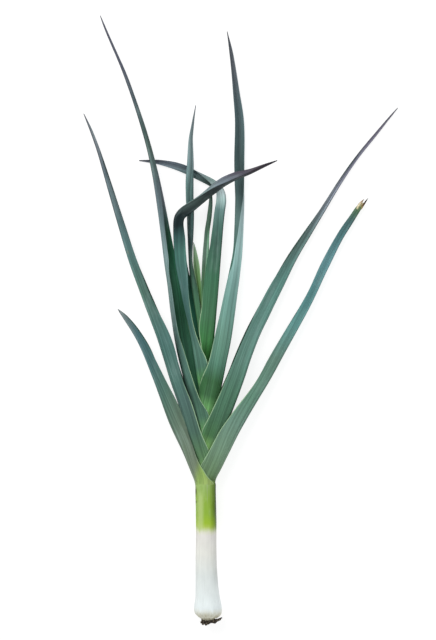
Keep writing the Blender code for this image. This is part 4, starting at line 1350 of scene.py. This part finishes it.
def roots_group():
    """Geometry Nodes: tapering roots along the given paths, with fine hairs on them."""
    tree, given, end = new_group("leek_roots", [
        ("Root Radius", 0.0009), ("Hair Radius", 0.00016), ("Hair Length", 0.004),
        ("Hair Spacing", 0.0022), ("Wander", 0.0012),
    ], 5, ["Root Material"])
    path = tree.node("GeometryNodeMeshToCurve", Mesh=given["Geometry"])
    steady = tree.node("GeometryNodeResampleCurve", Curve=path.outputs[0], Count=16)
    factor = tree.node("GeometryNodeSplineParameter").outputs["Factor"]
    noise = tree.node(
        "ShaderNodeTexNoise", {"noise_dimensions": "4D"}, W=given["Seed"], Scale=330.0,
        Vector=tree.node("GeometryNodeInputPosition").outputs[0],
    )
    shifted = tree.node("ShaderNodeVectorMath", {"operation": "SUBTRACT"})
    tree.feed(shifted, "0", noise.outputs["Color"])
    tree.feed(shifted, "1", (0.5, 0.5, 0.5))
    wander = tree.times(factor, tree.times(given["Wander"], 2.0))
    scaled = tree.node("ShaderNodeVectorMath", {"operation": "SCALE"}, Scale=wander)
    tree.feed(scaled, "0", shifted.outputs[0])
    bent = tree.node("GeometryNodeSetPosition", Geometry=steady.outputs[0], Offset=scaled.outputs[0])
    knots = tree.ramp(noise.outputs["Fac"], 0.32, 0.68, 0.55, 1.5)
    taper = tree.linear(factor, 0.5, 1.0, 1.0, 0.75)
    sized = tree.node("GeometryNodeSetCurveRadius", Curve=bent.outputs[0], Radius=tree.times(knots, taper))
    ring = tree.node("GeometryNodeCurvePrimitiveCircle", Resolution=9, Radius=given["Root Radius"])
    tube = tree.node(
        "GeometryNodeCurveToMesh", Curve=sized.outputs[0], Profile_Curve=ring.outputs[0], Fill_Caps=True
    )
    if "Scale" in tube.inputs:
        tree.feed(tube, "Scale", tree.node("GeometryNodeInputRadius").outputs[0])
    starts = tree.node(
        "GeometryNodeCurveToPoints", {"mode": "LENGTH"}, Curve=bent.outputs[0], Length=given["Hair Spacing"]
    )
    hair = tree.node(
        "GeometryNodeMeshCone", Vertices=4, Side_Segments=1, Radius_Top=0.00004,
        Radius_Bottom=given["Hair Radius"], Depth=given["Hair Length"],
    )
    turn = tree.node("FunctionNodeRandomValue", {"data_type": "FLOAT_VECTOR"}, Seed=given["Seed"])
    tree.feed(turn, "0", (-2.2, -2.2, -3.1))
    tree.feed(turn, "1", (2.2, 2.2, 3.1))
    size = tree.node("FunctionNodeRandomValue", {"data_type": "FLOAT"}, Seed=given["Seed"])
    tree.feed(size, "2", 0.5)
    tree.feed(size, "3", 1.5)
    hairs = tree.node(
        "GeometryNodeInstanceOnPoints", Points=starts.outputs["Points"], Instance=hair.outputs["Mesh"],
        Rotation=turn.outputs[0], Scale=size.outputs[1],
    )
    both = tree.node("GeometryNodeJoinGeometry")
    tree.feed(both, "0", tube.outputs[0])
    tree.feed(both, "0", hairs.outputs[0])
    real = tree.node("GeometryNodeRealizeInstances", Geometry=both.outputs[0])
    finish = tree.node(
        "GeometryNodeSetMaterial", Geometry=real.outputs[0], Material=given["Root Material"]
    )
    tree.feed(end, "0", finish.outputs[0])
    return tree.tree


class LEEK_OT_roots(bpy.types.Operator):
    """Build the trimmed, dried roots"""

    bl_idname = "leek.roots"
    bl_label = "Roots"

    def execute(self, context):
        settings = context.scene.leek_shank
        rng = np.random.default_rng(11)
        paths = []
        for angle, radius, end_x, end_y, end_z in ROOTS:
            for turned, start_share, end_share, y_share in STRANDS:
                turn = math.radians(angle + turned)
                spread = radius * start_share
                start = np.array([spread * math.cos(turn), ROOT_TOP + 0.4, spread * math.sin(turn)])
                end = np.array([end_x, end_y, end_z]) * end_share
                end[1] = max(end_y * y_share, 0.4)
                if turned:
                    end += rng.uniform(-1.3, 1.3, 3) * np.array([1.0, 0.5, 1.0])
                knee = np.array([(start[0] + end[0]) / 2, start[1] - 3.0, start[2] * 1.1 + 1.0])
                t = np.linspace(0.0, 1.0, ROOT_POINTS)[:, None]
                path = (1 - t) ** 2 * start + 2 * t * (1 - t) * knee + t * t * end
                path[:, 0] += BULB_SHIFT
                path[:, 2] += AXIS_Z
                paths.append(path)
        verts = place(np.concatenate(paths))
        firsts = range(0, len(verts), ROOT_POINTS)
        edges = [(first + i, first + i + 1) for first in firsts for i in range(ROOT_POINTS - 1)]
        mesh = bpy.data.meshes.new("root_paths")
        mesh.from_pydata([tuple(v) for v in verts], edges, [])
        made, tree, shader = new_material("root_skin", 0.8, 0.25)
        spot = tree.object_point()
        grain = tree.noise(spot, 420.0, 4.0, 0.6)
        colour = tree.colours(grain, [
            (0.34, tint(22, 19, 17)), (0.5, settings.root_colour[:]), (0.62, tint(120, 110, 92)),
            (0.74, tint(196, 186, 160)),
        ])
        tree.feed(shader, "Base Color", colour)
        bumped(tree, shader, grain, 0.0004)
        piece = grown(
            "root_tuft", mesh, roots_group(), root_radius=settings.root_radius, hair_radius=0.00014,
            hair_length=0.0016, hair_spacing=0.003, wander=0.0022, seed=5, root_material=made,
        )
        stands_for(piece, "root", *[f"root_{n:02d}" for n in range(1, 13)])
        return {"FINISHED"}


def leaf_finishes(context):
    settings = context.scene.leek_leaf
    if "leaf_outer" not in bpy.data.materials:
        leaf_material("leaf_outer", settings, False)
        leaf_material("leaf_inner", settings, True)
        margin_material(settings)
    return [bpy.data.materials[n] for n in ("leaf_outer", "leaf_inner", "leaf_margin")]


def build_leaf(context, name):
    settings = context.scene.leek_leaf
    outer, inner, rim = leaf_finishes(context)
    mesh = blade_mesh(name, LEAVES[name], settings)
    piece = grown(
        name + "_blade", mesh, relief_group(), rib_spacing=settings.rib_spacing,
        rib_height=settings.rib_height, wave_length=settings.wave_length,
        wave_height=settings.wave_height, seed=list(LEAVES).index(name) + 20,
        outer_material=outer, inner_material=inner, rim_material=rim,
    )
    node = "leaf_right_1" if name.startswith("dried") else name
    stands_for(piece, "heart_leaf" if name == "heart_leaf" else "leaf", node)


class LEEK_OT_leaves(bpy.types.Operator):
    """Build the ten long leaves"""

    bl_idname = "leek.leaves"
    bl_label = "Leaves"

    def execute(self, context):
        for name in LEAVES:
            if name.startswith("leaf"):
                build_leaf(context, name)
        return {"FINISHED"}


class LEEK_OT_dried_tip(bpy.types.Operator):
    """Build the split, dried end of one leaf"""

    bl_idname = "leek.dried_tip"
    bl_label = "Dried tip"

    def execute(self, context):
        for name in LEAVES:
            if name.startswith("dried"):
                build_leaf(context, name)
        return {"FINISHED"}


class LEEK_OT_heart_leaf(bpy.types.Operator):
    """Build the young heart leaf"""

    bl_idname = "leek.heart_leaf"
    bl_label = "Heart leaf"

    def execute(self, context):
        build_leaf(context, "heart_leaf")
        return {"FINISHED"}


class LEEK_OT_stage(bpy.types.Operator):
    """Build the floor, the lights and the camera"""

    bl_idname = "leek.stage"
    bl_label = "Stage"

    def execute(self, context):
        settings = context.scene.leek_stage
        scene = context.scene
        half = settings.floor_size / 2
        mesh = bpy.data.meshes.new("floor")
        corners = [(-half, -half, 0.0), (half, -half, 0.0), (half, half, 0.0), (-half, half, 0.0)]
        mesh.from_pydata(corners, [], [(0, 1, 2, 3)])
        made, _, shader = new_material("floor_paper", 0.9, 0.1)
        shader.inputs["Base Color"].default_value = (0.3, 0.3, 0.3, 1.0)
        shader.inputs["Emission Color"].default_value = (1.0, 1.0, 1.0, 1.0)
        shader.inputs["Emission Strength"].default_value = 0.8
        mesh.materials.append(made)
        linked("floor", mesh)

        def lamp(name, power, size, spot, aim, colour):
            data = bpy.data.lights.new(name, "AREA")
            data.energy = power
            data.size = size
            data.color = colour
            thing = linked(name, data)
            thing.location = spot
            thing.rotation_euler = (Vector(aim) - Vector(spot)).to_track_quat("-Z", "Y").to_euler()

        key = settings.key_power
        lamp("key_light", key, 1.3, (-0.9, 1.2, 1.6), (-0.03, 0.0, 0.0), (1.0, 0.99, 0.97))
        lamp("top_light", key * TOP_SHARE, 1.6, (0.6, 0.1, 2.2), (0.0, 0.0, 0.0), (1.0, 1.0, 1.0))
        world = bpy.data.worlds.new("studio")
        world.use_nodes = True
        back = world.node_tree.nodes["Background"]
        back.inputs["Color"].default_value = (0.97, 0.98, 1.0, 1.0)
        back.inputs["Strength"].default_value = settings.fill_strength
        scene.world = world
        camera = bpy.data.cameras.new("camera")
        camera.lens = settings.lens
        camera.sensor_width = 36.0
        camera.clip_end = 50.0
        scene.camera = linked("camera", camera)
        scene.camera.location = (CAMERA_X, 0.0, settings.camera_height)
        scene.view_settings.view_transform = "Standard"
        return {"FINISHED"}


class LEEK_PT_panel(bpy.types.Panel):
    """Leek settings and pieces"""

    bl_idname = "LEEK_PT_panel"
    bl_label = "Leek"
    bl_space_type = "VIEW_3D"
    bl_region_type = "UI"
    bl_category = "Leek"

    def draw(self, context):
        for settings in (context.scene.leek_leaf, context.scene.leek_shank, context.scene.leek_stage):
            box = self.layout.box()
            for key in settings.__annotations__:
                box.prop(settings, key)
        for piece in OPERATORS:
            self.layout.operator(piece.bl_idname)


OPERATORS = (
    LEEK_OT_shank,
    LEEK_OT_root_plate,
    LEEK_OT_roots,
    LEEK_OT_leaves,
    LEEK_OT_dried_tip,
    LEEK_OT_heart_leaf,
    LEEK_OT_stage,
)
SETTINGS = (LeekLeafSettings, LeekShankSettings, LeekStageSettings)


def register():
    for item in SETTINGS + OPERATORS + (LEEK_PT_panel,):
        bpy.utils.register_class(item)
    bpy.types.Scene.leek_leaf = bpy.props.PointerProperty(type=LeekLeafSettings)
    bpy.types.Scene.leek_shank = bpy.props.PointerProperty(type=LeekShankSettings)
    bpy.types.Scene.leek_stage = bpy.props.PointerProperty(type=LeekStageSettings)


def unregister():
    del bpy.types.Scene.leek_leaf, bpy.types.Scene.leek_shank, bpy.types.Scene.leek_stage
    for item in reversed(SETTINGS + OPERATORS + (LEEK_PT_panel,)):
        bpy.utils.unregister_class(item)


def main():
    register()
    bpy.ops.leek.shank()
    bpy.ops.leek.root_plate()
    bpy.ops.leek.roots()
    bpy.ops.leek.leaves()
    bpy.ops.leek.dried_tip()
    bpy.ops.leek.heart_leaf()
    bpy.ops.leek.stage()


if __name__ == "__main__":
    main()
